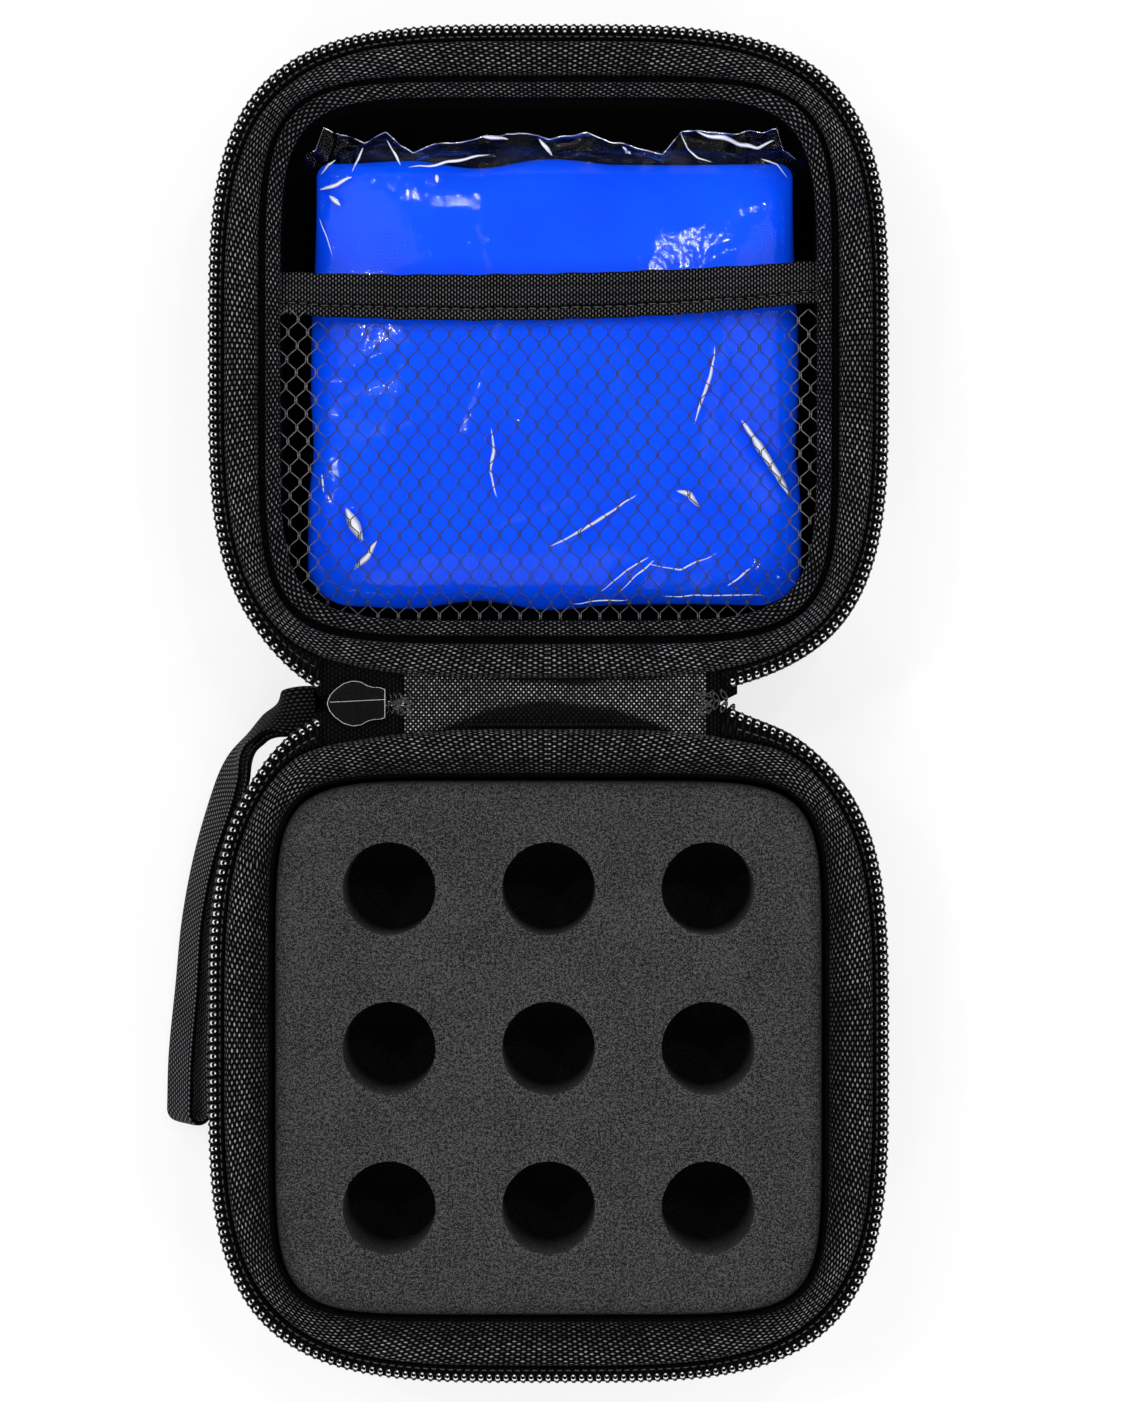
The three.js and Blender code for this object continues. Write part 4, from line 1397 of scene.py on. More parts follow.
@dataclass
class LidPocket(Assembly):
    """What the lid holds: a net with an elastic edge, and the gel pack in its clear film.

    Args:
        cell_width: Distance between the net's knots along X.
        row_pitch: Distance between its rows along Y.
        knot: Length of a knot.
        strand: Diameter of a strand.
        net_height: Height of the net.
        edge_y: Y of the elastic's lower side in the middle.
        band: Width of the elastic at its ends.
        swell: Share by which it is wider in the middle.
        tilt: Rise of the elastic for each millimetre along X.
        pack_start: Y of the gel pack's end by the hinge.
        pack_middle: Height of its middle.
        film_spare: How much wider the film is on each side.
        film_last: Y at which the film's flap ends before it is drawn in.
        mouth: X and Y of the film's open edge.
        folds: The film's sharp folds: the width of each, then X and Y of its points.
    """

    cell_width: float = 3.67
    row_pitch: float = 2.47
    knot: float = 1.15
    strand: float = 0.2
    net_height: float = 28.35
    edge_y: float = 135.4
    band: float = 7.6
    swell: float = 0.11
    tilt: float = 0.021
    pack_width: float = 91.2
    pack_x: float = 1.1
    pack_start: float = 80.7
    pack_end: float = 163.6
    pack_height: float = 16.2
    pack_middle: float = 18.0
    film_spare: float = 1.3
    film_last: float = 169.0
    mouth: Sequence[Pair] = (
        (-43, 165), (-41.5, 169.2), (-34, 166), (-30, 168), (-25, 164), (-21, 166), (-18, 166),
        (-12, 167.8), (-2, 168), (0, 167.2), (7, 168.3), (17, 164.8), (21, 163.6), (24.5, 168.3),
        (42, 168.3), (43, 164.5), (46, 163),
    )
    folds: Sequence[tuple] = (
        (0.54, (-26.0, 161.7), (-20.2, 162.2), (-15.3, 163.2), (-10.7, 164.3)),
        (0.78, (-12.5, 167.8), (-10.1, 167.5), (-7.5, 166.6)),
        (0.66, (-1.7, 167.1), (-0.5, 165.6), (0.5, 164.0)), (0.48, (13.6, 165.6), (15.1, 164.0)),
        (0.9, (27.3, 168.2), (33.1, 167.0), (38.6, 165.4), (41.6, 166.6)),
        (0.36, (39.2, 163.6), (42.3, 162.4), (44.4, 160.4)),
        (0.42, (-42.4, 161.1), (-41.0, 162.6), (-39.5, 163.4)),
        (0.72, (-42.4, 158.2), (-39.2, 158.9), (-36.4, 160.4)), (0.72, (-40.5, 156.9), (-38.4, 155.0)),
        (0.36, (-34.3, 165.6), (-35.2, 163.3), (-36.4, 161.2)),
        (0.36, (-29.9, 166.7), (-28.1, 163.9), (-27.3, 162.0)), (0.6, (-20.8, 160.7), (-20.6, 159.0)),
        (0.3, (24.4, 168.1), (25.4, 165.1), (27.6, 163.6), (30.3, 162.9)),
        (0.24, (-42.5, 152.9), (-41.3, 149.8), (-40.0, 145.4)),
        (0.57, (30.5, 128.7), (29.7, 122.5), (26.8, 114.3)),
        (0.57, (-10.7, 113.4), (-10.1, 109.1), (-10.9, 105.9), (-9.6, 100.7)),
        (0.5, (0.0, 91.7), (7.8, 95.7), (16.4, 101.3)),
        (1.51, (35.6, 115.2), (38.8, 110.4), (42.3, 105.3), (44.2, 101.4)),
        (2.26, (-37.5, 99.1), (-35.9, 96.0), (-34.0, 92.7)),
        (1.07, (-31.5, 93.1), (-33.6, 89.9), (-36.1, 87.5)),
        (0.31, (9.4, 83.4), (14.2, 87.1), (18.3, 89.8)), (0.25, (12.8, 83.4), (17.4, 87.4), (19.2, 89.2)),
        (0.25, (17.9, 88.5), (24.4, 87.6), (31.3, 90.7)), (0.25, (4.3, 81.4), (14.8, 82.2)),
        (0.25, (20.9, 82.8), (40.0, 83.0)), (0.94, (23.5, 101.9), (25.7, 101.4), (27.6, 99.1)),
        (0.38, (33.1, 84.6), (37.4, 87.9)), (0.31, (-41.9, 105.3), (-41.6, 101.7)),
    )

    def edge_at(self, x: float | Array) -> float | Array:
        """Y of the elastic's lower side at each X: it sags a little and rises to the right."""
        return self.edge_y - 2.2 * (1 - (x / 50) ** 2) + self.tilt * x + 0.12 * ripple(x + 60, 3, [7.0, 13.0])

    def widening(self, x: Array) -> Array:
        """The elastic's width at each X as a share of its width at the ends."""
        return 1 + self.swell * (1 - (x / 50) ** 2)

    def knot_model(self) -> Piece:
        """One knot of the net with its two rising strands."""
        half, top = self.knot / 2, self.row_pitch - self.knot / 2
        side, reach = self.strand * 0.85, self.cell_width / 2
        strokes = [((-side, -half), (-side, half)), ((side, -half), (side, half))]
        strokes += [((-side, -0.1), (side, 0.1)), ((side, half), (reach - side, top))]
        strokes.append(((-side, half), (side - reach, top)))
        parts = []
        for (x0, y0), (x1, y1) in strokes:
            span = math.hypot(x1 - x0, y1 - y0) + 0.1
            parts.append(
                primitive(
                    "cylinder",
                    vertices=6,
                    radius=self.strand / 2 * MM,
                    depth=span * MM,
                    end_fill_type="TRIFAN",
                    location=((x0 + x1) / 2 * MM, (y0 + y1) / 2 * MM, 0),
                    rotation=(0, QUARTER_TURN, math.atan2(y1 - y0, x1 - x0)),
                )
            )
        return join("net_knot", parts)

    def net(self) -> None:
        """The hexagonal net: knots from side to side, up to the elastic, that waver a little."""
        model = self.knot_model()
        places = []
        rng = np.random.default_rng(11)
        for row in range(int(-60 / self.row_pitch), int(60 / self.row_pitch)):
            for column in range(-16, 17):
                x = (column + (row % 2) / 2) * self.cell_width
                y = 2 * self.sizes.hinge_y + row * self.row_pitch
                plan = np.array([[x, 2 * self.sizes.hinge_y - y]])
                inside = self.sizes.within(plan, 12.4, self.sizes.cavity)[0] > 0
                if inside and y + self.row_pitch < self.edge_at(x) + 1.6:
                    places.append((np.eye(3) * rng.uniform(0.96, 1.04), np.array([x, y, self.net_height])))
        net = copied("pocket_netting", model, places)
        points = points_of(net)
        wavers = ((0.45, 17, 21), (0.5, 21, 22), (0.18, 12, 23))
        moves = [amount * noise_at(points[:, 0], points[:, 1], *cells) for amount, *cells in wavers]
        reshaped(net, points + stacked(*moves))
        points = points_of(net)
        over = 1 - np.maximum(np.abs(points[:, 0] - self.pack_x) - 42.5, 80.5 - points[:, 1]) / 1.5
        mark(net, 0.94 * np.clip(over, 0, 1))
        self.wardrobe.dress(net, "net_yarn", "lid", "pocket_net")

    def elastic(self) -> None:
        """The ribbed elastic along the net's upper edge, with painted shade in its grooves and along its
        edges, and its row of stitches.
        """
        underside, face = 27.8, 28.2
        stitch_line, grooves = 0.27, ((0.27, 0.8), (0.5, 0.25), (0.74, 0.25))
        x = np.linspace(-50.4, 50.4, 320)
        width = np.linspace(self.band, 0, 72)
        dome = 28.65 - 0.45 * np.abs(2 * width / self.band - 1) ** 6
        section = shut(np.vstack([stacked(width, dome), [(0.0, underside), (self.band, underside)]]))
        rows = []
        for offset, height in section:
            seam = frill = 0.0
            if height > face:
                share = offset / self.band
                seam = sum(depth * math.exp(-(((share - spot) / 0.035) ** 2)) for spot, depth in grooves)
                frill = 0.10 * ripple(x + 60, 9, [2.1, 5.3])
            rows.append(stacked(x, self.edge_at(x) + offset * self.widening(x), height - seam + frill))
        piece = grid_piece("pocket_elastic_edge", capped(np.stack(rows, axis=1)))
        # Painted shade in the band's grooves and along both of its edges.
        spots = points_of(piece)
        share = (spots[:, 1] - self.edge_at(spots[:, 0])) / self.band / self.widening(spots[:, 0])
        lines = [(0.27, 1.0, 0.035), (0.5, 0.55, 0.02), (0.74, 0.55, 0.02)]
        lines += [(0.0, 0.7, 0.03), (1.0, 0.7, 0.03)]
        mark(piece, sum(depth * np.exp(-(((share - spot) / width) ** 2)) for spot, depth, width in lines))
        self.wardrobe.dress(piece, "ribbed_elastic", "lid", "pocket_elastic")
        places = [
            (np.eye(3), np.array([spot, self.edge_at(spot) + stitch_line * self.band, 28.52]))
            for spot in np.arange(-49.0, 49.5, 2.0)
        ]
        stitches = copied("elastic_stitches", thread_model(5, 0.13, 1.4), places)
        self.wardrobe.dress(stitches, "sewing_thread", "lid", slot="elastic_band")

    def bag(
        self,
        name: str,
        grow: float,
        stations: Array,
        count: int,
        corners: Pair,
        surface: Callable[[Array, Array, Array], Array],
        drift: Callable[[Array, Array, Array], Array] | None = None,
    ) -> Piece:
        """A flat bag of rings that stand across Y, closed at both ends.

        Args:
            name: Name of the piece.
            grow: How much wider and thicker than the pack it is, on each side.
            stations: Y of the rings.
            count: Points round a ring.
            corners: Radius of its corners by the hinge and at its far end.
            surface: Gives the height change for X, Y and the share of the way up.
            drift: Gives the change along Y for the same.

        Returns:
            The new object.
        """
        across, up = superellipse(np.linspace(0, FULL_TURN, count + 1), 2.3)
        start, end = self.pack_start - grow, self.pack_end + grow
        centre, half = (start + end) / 2, (end - start) / 2
        seam = 0.9
        rows = []
        for y in stations:
            share = (y - centre) / half
            corner = corners[int(share > 0)]
            out = min(abs(share), 1.0)
            near = max(0.0, 1 - (1 - out) * half / corner)
            width = self.pack_width + 2 * grow - 2 * corner * (1 - math.sqrt(max(0.0, 1 - near**2)))
            height = seam + (self.pack_height - seam) * (1 - out**3) ** (2 / 3) + 2 * grow * 0.35
            x = self.pack_x + across * width / 2 * (1 + 0.014 * (121 - y) / 40)
            level = np.full_like(x, y)
            z = self.pack_middle + up * height / 2 + surface(x, level, up)
            rows.append(stacked(x, level + (drift(x, level, up) if drift else 0.0), z))
        points = np.stack(rows)
        ends = points[[0, -1]]
        ends = (ends + ends[:, ::-1]) / 2
        return grid_piece(name, np.concatenate([ends[:1], points, ends[1:]]), angle=160)

    def stations(self, count: int, spare: float = 0.0) -> Array:
        """Y of rings from end to end of the pack, closer together at the ends."""
        share = np.sin(np.linspace(-QUARTER_TURN, QUARTER_TURN, count))
        return (self.pack_start + self.pack_end) / 2 + share * ((self.pack_end - self.pack_start) / 2 + spare)

    def gel_pack(self) -> None:
        """The filled blue pack: crowned, with shallow dents where the gel has settled."""

        def dents(x: Array, y: Array, up: Array) -> Array:
            """The gel's uneven upper face."""
            soft = 0.42 * noise_at(x, y, 14, 31) + 0.2 * noise_at(x, y, 6, 32)
            return np.where(up > 0, (soft - 0.35) * np.abs(up), 0.0)

        pack = self.bag("gel_pack_filled", 0.0, self.stations(110), 150, (8.0, 3.0), dents)
        points, centre = points_of(pack), 121
        x, y = points[:, 0].copy(), points[:, 1].copy()
        side = np.clip(np.abs(x) / 44, 0, 1) ** 6
        end = np.clip(np.abs(y - centre) / 40.5, 0, 1) ** 6
        points[:, 0] -= np.sign(x) * side * (0.5 + 0.7 * noise_at(y, x * 0, 11, 33))
        uneven = 0.4 + 0.9 * noise_at(points[:, 0], y * 0, 13, 34)
        points[:, 1] -= np.sign(y - centre) * end * uneven
        reshaped(pack, points)
        self.wardrobe.dress(pack, "blue_gel", "cold_pack", "gel_pack")

    def mouth_at(self, x: Array) -> Array:
        """Y of the film's open edge at each X."""
        return np.interp(x, *np.transpose(self.mouth)) + 0.35 * noise_at(x, x * 0, 2.3, 48)

    def film_height(self, x: Array, y: Array) -> Array:
        """Height of the creases over the film's smooth face."""
        lines = 0.5 * ridges(x, y, 18, 26, 7, 41) + 0.45 * ridges(x, y, 74, 30, 8, 42)
        lines = lines + 0.2 * noise_at(x, y, 9, 44)
        for width, (x0, y0), *_, (x1, y1) in self.folds:
            span = math.hypot(x1 - x0, y1 - y0)
            along = ((x - x0) * (x1 - x0) + (y - y0) * (y1 - y0)) / span
            aside = ((y - y0) * (x1 - x0) - (x - x0) * (y1 - y0)) / span + 0.5 * noise_at(x, y, 5, 49)
            fade = np.clip(along / span, 0, 1) * np.clip(1 - along / span, 0, 1) * 4
            lines = lines + (0.3 + 0.5 * width) * fade * np.exp(-np.abs(aside / 0.8) ** 1.4)
        return lines

    def rumple(self, x: Array, y: Array) -> Array:
        """Height of the film's loose flap."""
        rough = 1.6 * noise_at(x, y, 6, 45) + 1.6 * ridges(x, y, 80, 12, 5, 46)
        return 4.4 + rough + 1.3 * np.abs(noise_at(x, y, 3.2, 47))

    def film(self) -> None:
        """The clear film bag round the pack, with creases, a loose flap past its end, and painted reflections
        on its folds.
        """
        top, last, under_net = self.pack_end + self.film_spare, self.film_last, 27.9

        def crease(x: Array, y: Array, up: Array) -> Array:
            """Creases on the upper face, and the flap."""
            flap = np.clip((y - self.pack_end + 3.0) / 4.5, 0, 1)
            smooth = np.where(up > 0, (0.3 + self.film_height(x, y)) * (1 - flap) * np.abs(up), 0.0)
            return smooth + flap * self.rumple(x, y)

        def ragged(x: Array, y: Array, up: Array) -> Array:
            """Draws the flap in to its uneven open edge; its lower face ends a little short."""
            end = np.clip((y - top) / (last - top), 0, 1)
            short = np.clip(-up, 0, 1) * (1.6 + 1.2 * noise_at(x, y * 0, 9, 50))
            return end * (self.mouth_at(x) - short - last)

        body = self.stations(210, 0.5)
        rings = np.concatenate([body[:-12], np.linspace(body[-12], last, 40)])
        film = self.bag("film_bag", self.film_spare, rings, 390, (9.0, 0.8), crease, ragged)
        points = points_of(film)
        reshaped(film, lifted(points, np.minimum(points[:, 2], under_net)))
        self.wardrobe.dress(film, "clear_film", "cold_pack", "pack_sleeve")
        x = np.linspace(-43.5, 45.5, 300)
        y, z = self.mouth_at(x), self.pack_middle + 0.9 + self.rumple(x, np.full_like(x, last))
        rows = [stacked(x, y + 0.13 * math.cos(a), z + 0.13 * math.sin(a)) for a in WIRE_SECTION]
        rim = grid_piece("film_mouth_edge", np.stack(rows))
        self.wardrobe.dress(rim, "film_weld", "cold_pack")
        self.paint_fold_reflections(points_of(film))

    def paint_fold_reflections(self, film: Array) -> None:
        """Painted reflections along the film's sharpest folds: thin white three-sided strips on its upper
        face.
        """
        face = film[film[:, 2] > self.pack_middle + 0.5]
        steps = 26
        strips = []
        for width, *nodes in self.folds:
            spots = np.linspace(0, len(nodes) - 1, steps)
            x, y = (np.interp(spots, range(len(nodes)), values) for values in np.transpose(nodes))
            x, y = x + 0.25 * noise_at(x, y, 3.1, 51), y + 0.25 * noise_at(x, y, 2.7, 52)
            run = np.stack([np.gradient(x), np.gradient(y)])
            run /= np.linalg.norm(run, axis=0)
            near = [np.argsort((face[:, 0] - u) ** 2 + (face[:, 1] - v) ** 2)[:5] for u, v in zip(x, y)]
            top = np.array([face[found, 2].max() for found in near])
            taper = np.sin(np.pi * np.linspace(0, 1, steps)) ** 0.7
            taper = taper * (1 + 0.35 * noise_at(x, y, 1.9, 53)) * width / 2
            rows = [
                stacked(x - run[1] * taper * side, y + run[0] * taper * side, top + lift * taper)
                for side, lift in ((-1, 0.1), (0, 0.5), (1, 0.1), (0, -0.1), (-1, 0.1))
            ]
            strips.append(grid_piece("film_creases", np.stack(rows, axis=1)))
        self.wardrobe.dress(join("film_creases", strips), "painted_fold_reflection", "cold_pack")

    def build(self) -> None:
        """Builds everything in the lid."""
        self.gel_pack()
        self.film()
        self.net()
        self.elastic()


# ---- hinge, slider and strap


@dataclass
class HingeBridge(Assembly):
    """The cloth between the halves, cut at its middle into a part by the base and a part by the lid.

    Args:
        left: X of the cloth's left end.
        right: X of its right end.
        tape_left: X of the left end of the tapes.
        tape_right: X of their right end.
        slider_skew: By how much the left tapes bend farther out for each millimetre beside the slider; not
            used.
        fold_z: Height of the folds.
    """

    left: float = -26.4
    right: float = 28.8
    low: float = 27.4
    top: float = 30.1
    tape_left: float = -42.9
    tape_right: float = 34.5
    slider_skew: float = 0.22
    fold_z: float = 29.0

    def ridge(self, x: Array) -> tuple[Array, Array]:
        """The place along the cloth from -1 to 1, and how much of the ridge is left there."""
        share = np.clip((x - (self.left + self.right) / 2) / ((self.right - self.left) / 2), -1, 1)
        return share, np.clip(1 - (share / 0.85) ** 2, 0, 1)

    def sag(self, x: Array, y: Array) -> Array:
        """Height of the cloth's face: a ridge that falls to both sides, with puckered ends."""
        share, bend = self.ridge(x)
        fall = 2.0 * bend * np.abs((y - self.sizes.hinge_y) / 4.3 - 0.5 * bend) ** 1.6
        ends = np.clip((np.abs(share) - 0.86) / 0.14, 0, 1)
        return ends * 0.7 * noise_at(x, y, 1.7, 61) + 0.12 * noise_at(x, y, 6.0, 62) - fall

    def shade(self, piece: Piece) -> None:
        """Paints shade on the cloth where it dips away from its ridge."""
        x, y, _ = points_of(piece).T
        _, bend = self.ridge(x)
        across = (y - self.sizes.hinge_y) / 4.3 + 0.16 * noise_at(x, y, 6, 64)
        mark(piece, (np.abs(across - 0.5 * bend) - 1.25 + 1.0 * bend) / 0.22)

    def width_at(self, x: Array) -> Array:
        """Distance from the hinge's middle to where a cloth meets the padded rims."""
        angles = np.linspace(math.radians(150), math.radians(30), 200)
        rim = self.sizes.outline(4.0, angles)
        return self.sizes.hinge_y - np.interp(x, rim[:, 0], rim[:, 1])

    def cloth(self, name: str, side: float, ends: Pair, levels: Pair, gap: Callable[[Array], Array]) -> Piece:
        """One side of a cloth, from near the hinge's middle to the rim.

        Args:
            name: Name of the piece.
            side: -1 by the base and 1 by the lid.
            ends: Its ends along X.
            levels: Its underside and its upper face.
            gap: Gives the distance from the middle at which it starts, for each X.

        Returns:
            The new object.
        """
        x = np.linspace(*ends, int((ends[1] - ends[0]) * 3.6) + 8)
        start, reach = gap(x), self.width_at(x)
        shares = np.linspace(0, 1, 16)
        section = [(t, True) for t in shares] + [(t, False) for t in shares[::-1]] + [(0.0, True)]
        rows = []
        for share, up in section:
            y = self.sizes.hinge_y + side * (start + (reach - start) * share)
            rise = 0.12 * noise_at(x, y, 3.0, 63) if levels[1] < self.top else self.sag(x, y)
            rows.append(stacked(x, y, np.maximum(levels[1] + rise, levels[0] + 0.2) if up else levels[0]))
        return grid_piece(name, capped(np.stack(rows, axis=1), None), angle=50)

    def slider_gap(self, x: Array) -> Array:
        """Distance from the middle to the tapes that run through the slider."""
        return np.interp(x, [-43.6, -42.6, -42.2, -36.2, -36.0], [3.8, 2.8, 1.45, 1.45, 0.4])

    def at(self, spot: Array) -> Triple:
        """A point at the folds' height, in metres."""
        return (spot[0] * MM, spot[1] * MM, self.fold_z * MM)

    def cloths(self, side: float, label: str, lower: str, upper: str) -> None:
        """The hinge cloth and the two tapes beside it, on one side of the hinge's middle.

        Args:
            side: -1 by the base and 1 by the lid.
            label: What the names of its pieces end with.
            lower: The body by the base; not used.
            upper: The body by the lid; not used.
        """
        left, right = (self.tape_left, self.left), (self.right, self.tape_right)
        whole, levels, thin = (self.left, self.right), (self.low, self.top), (28.6, 29.15)
        nodes = ("hinge_panel", "hinge_lining")
        parts = [
            ("hinge_cloth", "hinge_cloth", whole, levels, lambda x: x * 0, nodes),
            ("left_tape", "zip_tape_cloth", left, thin, self.slider_gap, ()),
            ("right_tape", "zip_tape_cloth", right, thin, lambda x: np.maximum(x - 31.0, 0) * 0.5, ()),
        ]
        for name, finish, ends, heights, gap, replaced in parts:
            piece = self.cloth(f"{name}_{label}", side, ends, heights, gap)
            if name == "hinge_cloth":
                self.shade(piece)
            self.wardrobe.dress(piece, finish, "", *replaced)
            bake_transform(piece)

    def stitching(self) -> None:
        """The overcast stitches where the cloth's two ends meet the zip tape."""
        rng = np.random.default_rng(17)
        places = []
        for end in (self.left, self.right):
            for _ in range(34):
                turn = rng.uniform(-1.3, 1.3)
                x, y = end + rng.uniform(-1.6, 1.2), self.sizes.hinge_y + rng.uniform(-2.1, 2.1)
                height = self.top + 0.25 if self.left < x < self.right else 29.35
                places.append((turned(turn), np.array([x, y, height])))
        piece = copied("hinge_end_stitches", thread_model(5, 0.15, 1.2), places)
        self.wardrobe.dress(piece, "sewing_thread", "hinge_strip", slot="hinge_cloth")

    def closed_coils(self) -> None:
        """The closed end of the zip beside the slider, and the few coils past the cloth's other end."""
        low, high = node_box("zip_chain_end")
        y = self.sizes.hinge_y
        chain = []
        for x in np.arange(low.x + 0.6, high.x - 0.4, 0.95):
            chain.append((np.eye(3), np.array([x, y - 0.75, self.fold_z])))
            chain.append((np.diag([1.0, -1.0, 1.0]), np.array([x + 0.45, y + 0.75, self.fold_z])))
        link = [
            (turned(side * 0.5), np.array([30.6 + 1.35 * step, y + 0.45 + side * (0.65 + 0.5 * step), 30.0]))
            for side, count in ((-1.0, 3), (1.0, 2))
            for step in range(count)
        ]
        rows = [("zip_closed_end", chain, ("zip_chain_end",)), ("zip_row_link", link, ())]
        for name, places, nodes in rows:
            row = copied(name, coil_model(10, (0.8, 1.7, 0.95), ((20, "Y"),)), places)
            self.wardrobe.dress(row, "zip_coil", "hinge_strip", *nodes)

    def build(self) -> None:
        """Builds both sides of the cloths, the closed coils and the link at their other end."""
        self.cloths(-1.0, "by_base", "base", "hinge_strip")
        self.cloths(1.0, "by_lid", "hinge_strip", "lid")
        self.stitching()
        self.closed_coils()


@dataclass
class ZipSlider(Assembly):
    """The slider's two plates on their post, and the pull that hangs in its crown.

    Args:
        plate: Thickness of a plate.
        channel: From the fold's height to each plate.
        fold_z: Height of the fold.
        swell: By how much the upper plate is thicker in its middle.
        leaf_drop: From the pull's top to the middle of its leaf.
    """

    length: float = 10.8
    half_width: float = 4.25
    plate: float = 0.8
    channel: float = 0.95
    fold_z: float = 29.0
    swell: float = 0.18
    leaf_drop: float = 10.1

    @property
    def nose(self) -> Array:
        """X and Y of the slider's nose."""
        return np.array([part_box("slider_body")[0].x / MM, self.sizes.hinge_y])

    @property
    def centre(self) -> Array:
        """The middle of a plate, from its nose."""
        return np.array([self.length * 0.5, 0.0])

    def side(self, steps: int) -> Array:
        """The spade-shaped plan of a plate, as X and Y from the middle of its nose."""
        shares = np.array([0.0, 0.03, 0.12, 0.28, 0.44, 0.58, 0.70, 0.80, 0.92, 1.0])
        widths = np.array([0.0, 0.30, 0.58, 0.88, 1.0, 0.95, 0.78, 0.71, 0.70, 0.62]) * self.half_width
        window = 21
        dense = np.linspace(0, 1, 400)
        smooth = np.pad(np.interp(dense, shares, widths), window // 2, mode="edge")
        smooth = np.convolve(smooth, np.ones(window) / window, mode="valid")
        smooth[0] = 0.0
        half = stacked(dense * self.length, smooth)
        whole = np.vstack([half, half[::-1] * np.array([1.0, -1.0])])
        run = run_length(whole)
        even = np.linspace(0, run[-1], steps)
        return stacked(np.interp(even, run, whole[:, 0]), np.interp(even, run, whole[:, 1]))

    def plate_piece(self, name: str, low: float, crown: float) -> Piece:
        """A plate with rounded edges.

        Args:
            name: Name of the piece.
            low: Height of its underside.
            crown: By how much it is swollen in its middle.

        Returns:
            The new object.
        """
        plan = self.side(120)
        underside = [(0.0, 0.0), (0.5, 0.0), (0.94, 0.0), (1.0, 0.25), (1.0, 0.75)]
        rows = []
        for share, up in underside + [(0.955, 1.0), (0.8, 1.0), (0.5, 1.0), (0.0, 1.0)]:
            swell = crown * (1 - share**2) * (up == 1.0)
            flat = self.centre + (plan - self.centre) * share
            rows.append(lifted(flat + self.nose, low + up * self.plate + swell))
        return grid_piece(name, np.stack(rows), angle=45)

    def bar(self, low: Triple, high: Triple, bevel: float) -> Piece:
        """A rounded bar.

        Args:
            low: Its lowest corner.
            high: Its highest corner.
            bevel: Radius of its edges.

        Returns:
            The new object.
        """
        size = [h - l for l, h in zip(low, high)]
        middle = [(h + l) / 2 * MM for l, h in zip(low, high)]
        return edited(
            primitive("cube", size=MM, location=middle),
            lambda: bpy.ops.transform.resize(value=size, center_override=middle),
            lambda: bpy.ops.mesh.bevel(offset=bevel * MM, segments=3, affect="EDGES"),
        )

    def body(self) -> None:
        """The two plates, their post, and the crown that holds the pull: two legs and a bar."""
        x, y = self.nose
        under = self.fold_z - self.channel - self.plate
        post, mid = 1.3, x + self.length / 2
        parts = [
            self.plate_piece("slider_upper", self.fold_z + self.channel, self.swell),
            self.plate_piece("slider_lower", under, 0.0),
            self.bar((x + 0.5, y - 1.1, self.fold_z - post), (x + 2.9, y + 1.1, self.fold_z + post), 0.3),
        ]
        crown = [(-2.7, -1.75, -2.9, 0.3, 0.25), (1.75, 2.7, -2.9, 0.3, 0.25), (-2.7, 2.7, -3.2, -2.2, 0.3)]
        for left, right, low, high, bevel in crown:
            corners = (mid + left, y - 1.3, under + low), (mid + right, y + 1.3, under + high)
            parts.append(self.bar(*corners, bevel))
        body = join("slider_plates_and_crown", parts)
        self.wardrobe.dress(body, "enamelled_metal", "zip_slider", "slider_body")

    def paint_edge_highlight(self) -> None:
        """The painted highlight: a bright line round the upper plate and along its ridge."""
        wire, ridge_wire = 0.08, 0.07
        x, y = self.nose
        height = self.fold_z + self.channel + self.plate - 0.07
        rim = (self.side(160) - self.centre) * 0.965
        rows = [
            lifted(
                self.centre + rim * (1 + wire * math.cos(a) / self.half_width) + self.nose,
                height + wire * math.sin(a),
            )
            for a in WIRE_SECTION
        ]
        lines = [grid_piece("slider_rim_line", np.stack(rows))]
        along = np.linspace(0.6, self.length - 0.3, 40)
        half = self.length / 2
        crest = height + self.swell * (1 - ((along - half) / half) ** 2) + 0.03
        aside = y + 0.2 + 0.05 * along
        rows = [
            stacked(along + x, aside + ridge_wire * math.cos(a), crest + ridge_wire * math.sin(a))
            for a in WIRE_SECTION
        ]
        lines.append(grid_piece("slider_ridge_line", np.stack(rows)))
        self.wardrobe.dress(join("slider_bright_edge", lines), "painted_metal_highlight", "zip_slider")

    def pull(self) -> None:
        """The flat pull with its crossbar, its eye and a raised border."""
        low, high = node_box("slider_pull")
        x, y, top = (low.x + high.x) / 2, self.sizes.hinge_y, 26.15
        eye = [(0.5, -2.8, -1.85, -5.2), (0.5, 1.85, 2.8, -5.2), (0.45, -2.6, 2.6, -0.45)]
        bars = [
            self.bar((x - half, y + left, top + drop), (x + half, y + right, top + 0.45), 0.25)
            for half, left, right, drop in eye
        ]
        plan_y, plan_z = superellipse(np.linspace(0, FULL_TURN, 65), 3.0)
        back = [(0.0, -0.4), (0.72, -0.4), (0.78, -0.58), (0.97, -0.58), (1.0, -0.35)]
        levels = back + [(share, -out) for share, out in reversed(back)]
        rows = [
            stacked(x + out, y + plan_y * 2.8 * share, top - self.leaf_drop + plan_z * 5.9 * share)
            for share, out in levels
        ]
        grid = np.stack(rows)
        leaf = grid_piece("pull_leaf", grid, grid[..., 1:], angle=45)
        pull = join("slider_pull_tab", [leaf, *bars])
        self.wardrobe.dress(pull, "enamelled_metal", "zip_pull", "slider_pull")

    def build(self) -> None:
        """Builds the slider, its painted edge highlight and the pull."""
        self.body()
        self.paint_edge_highlight()
        self.pull()


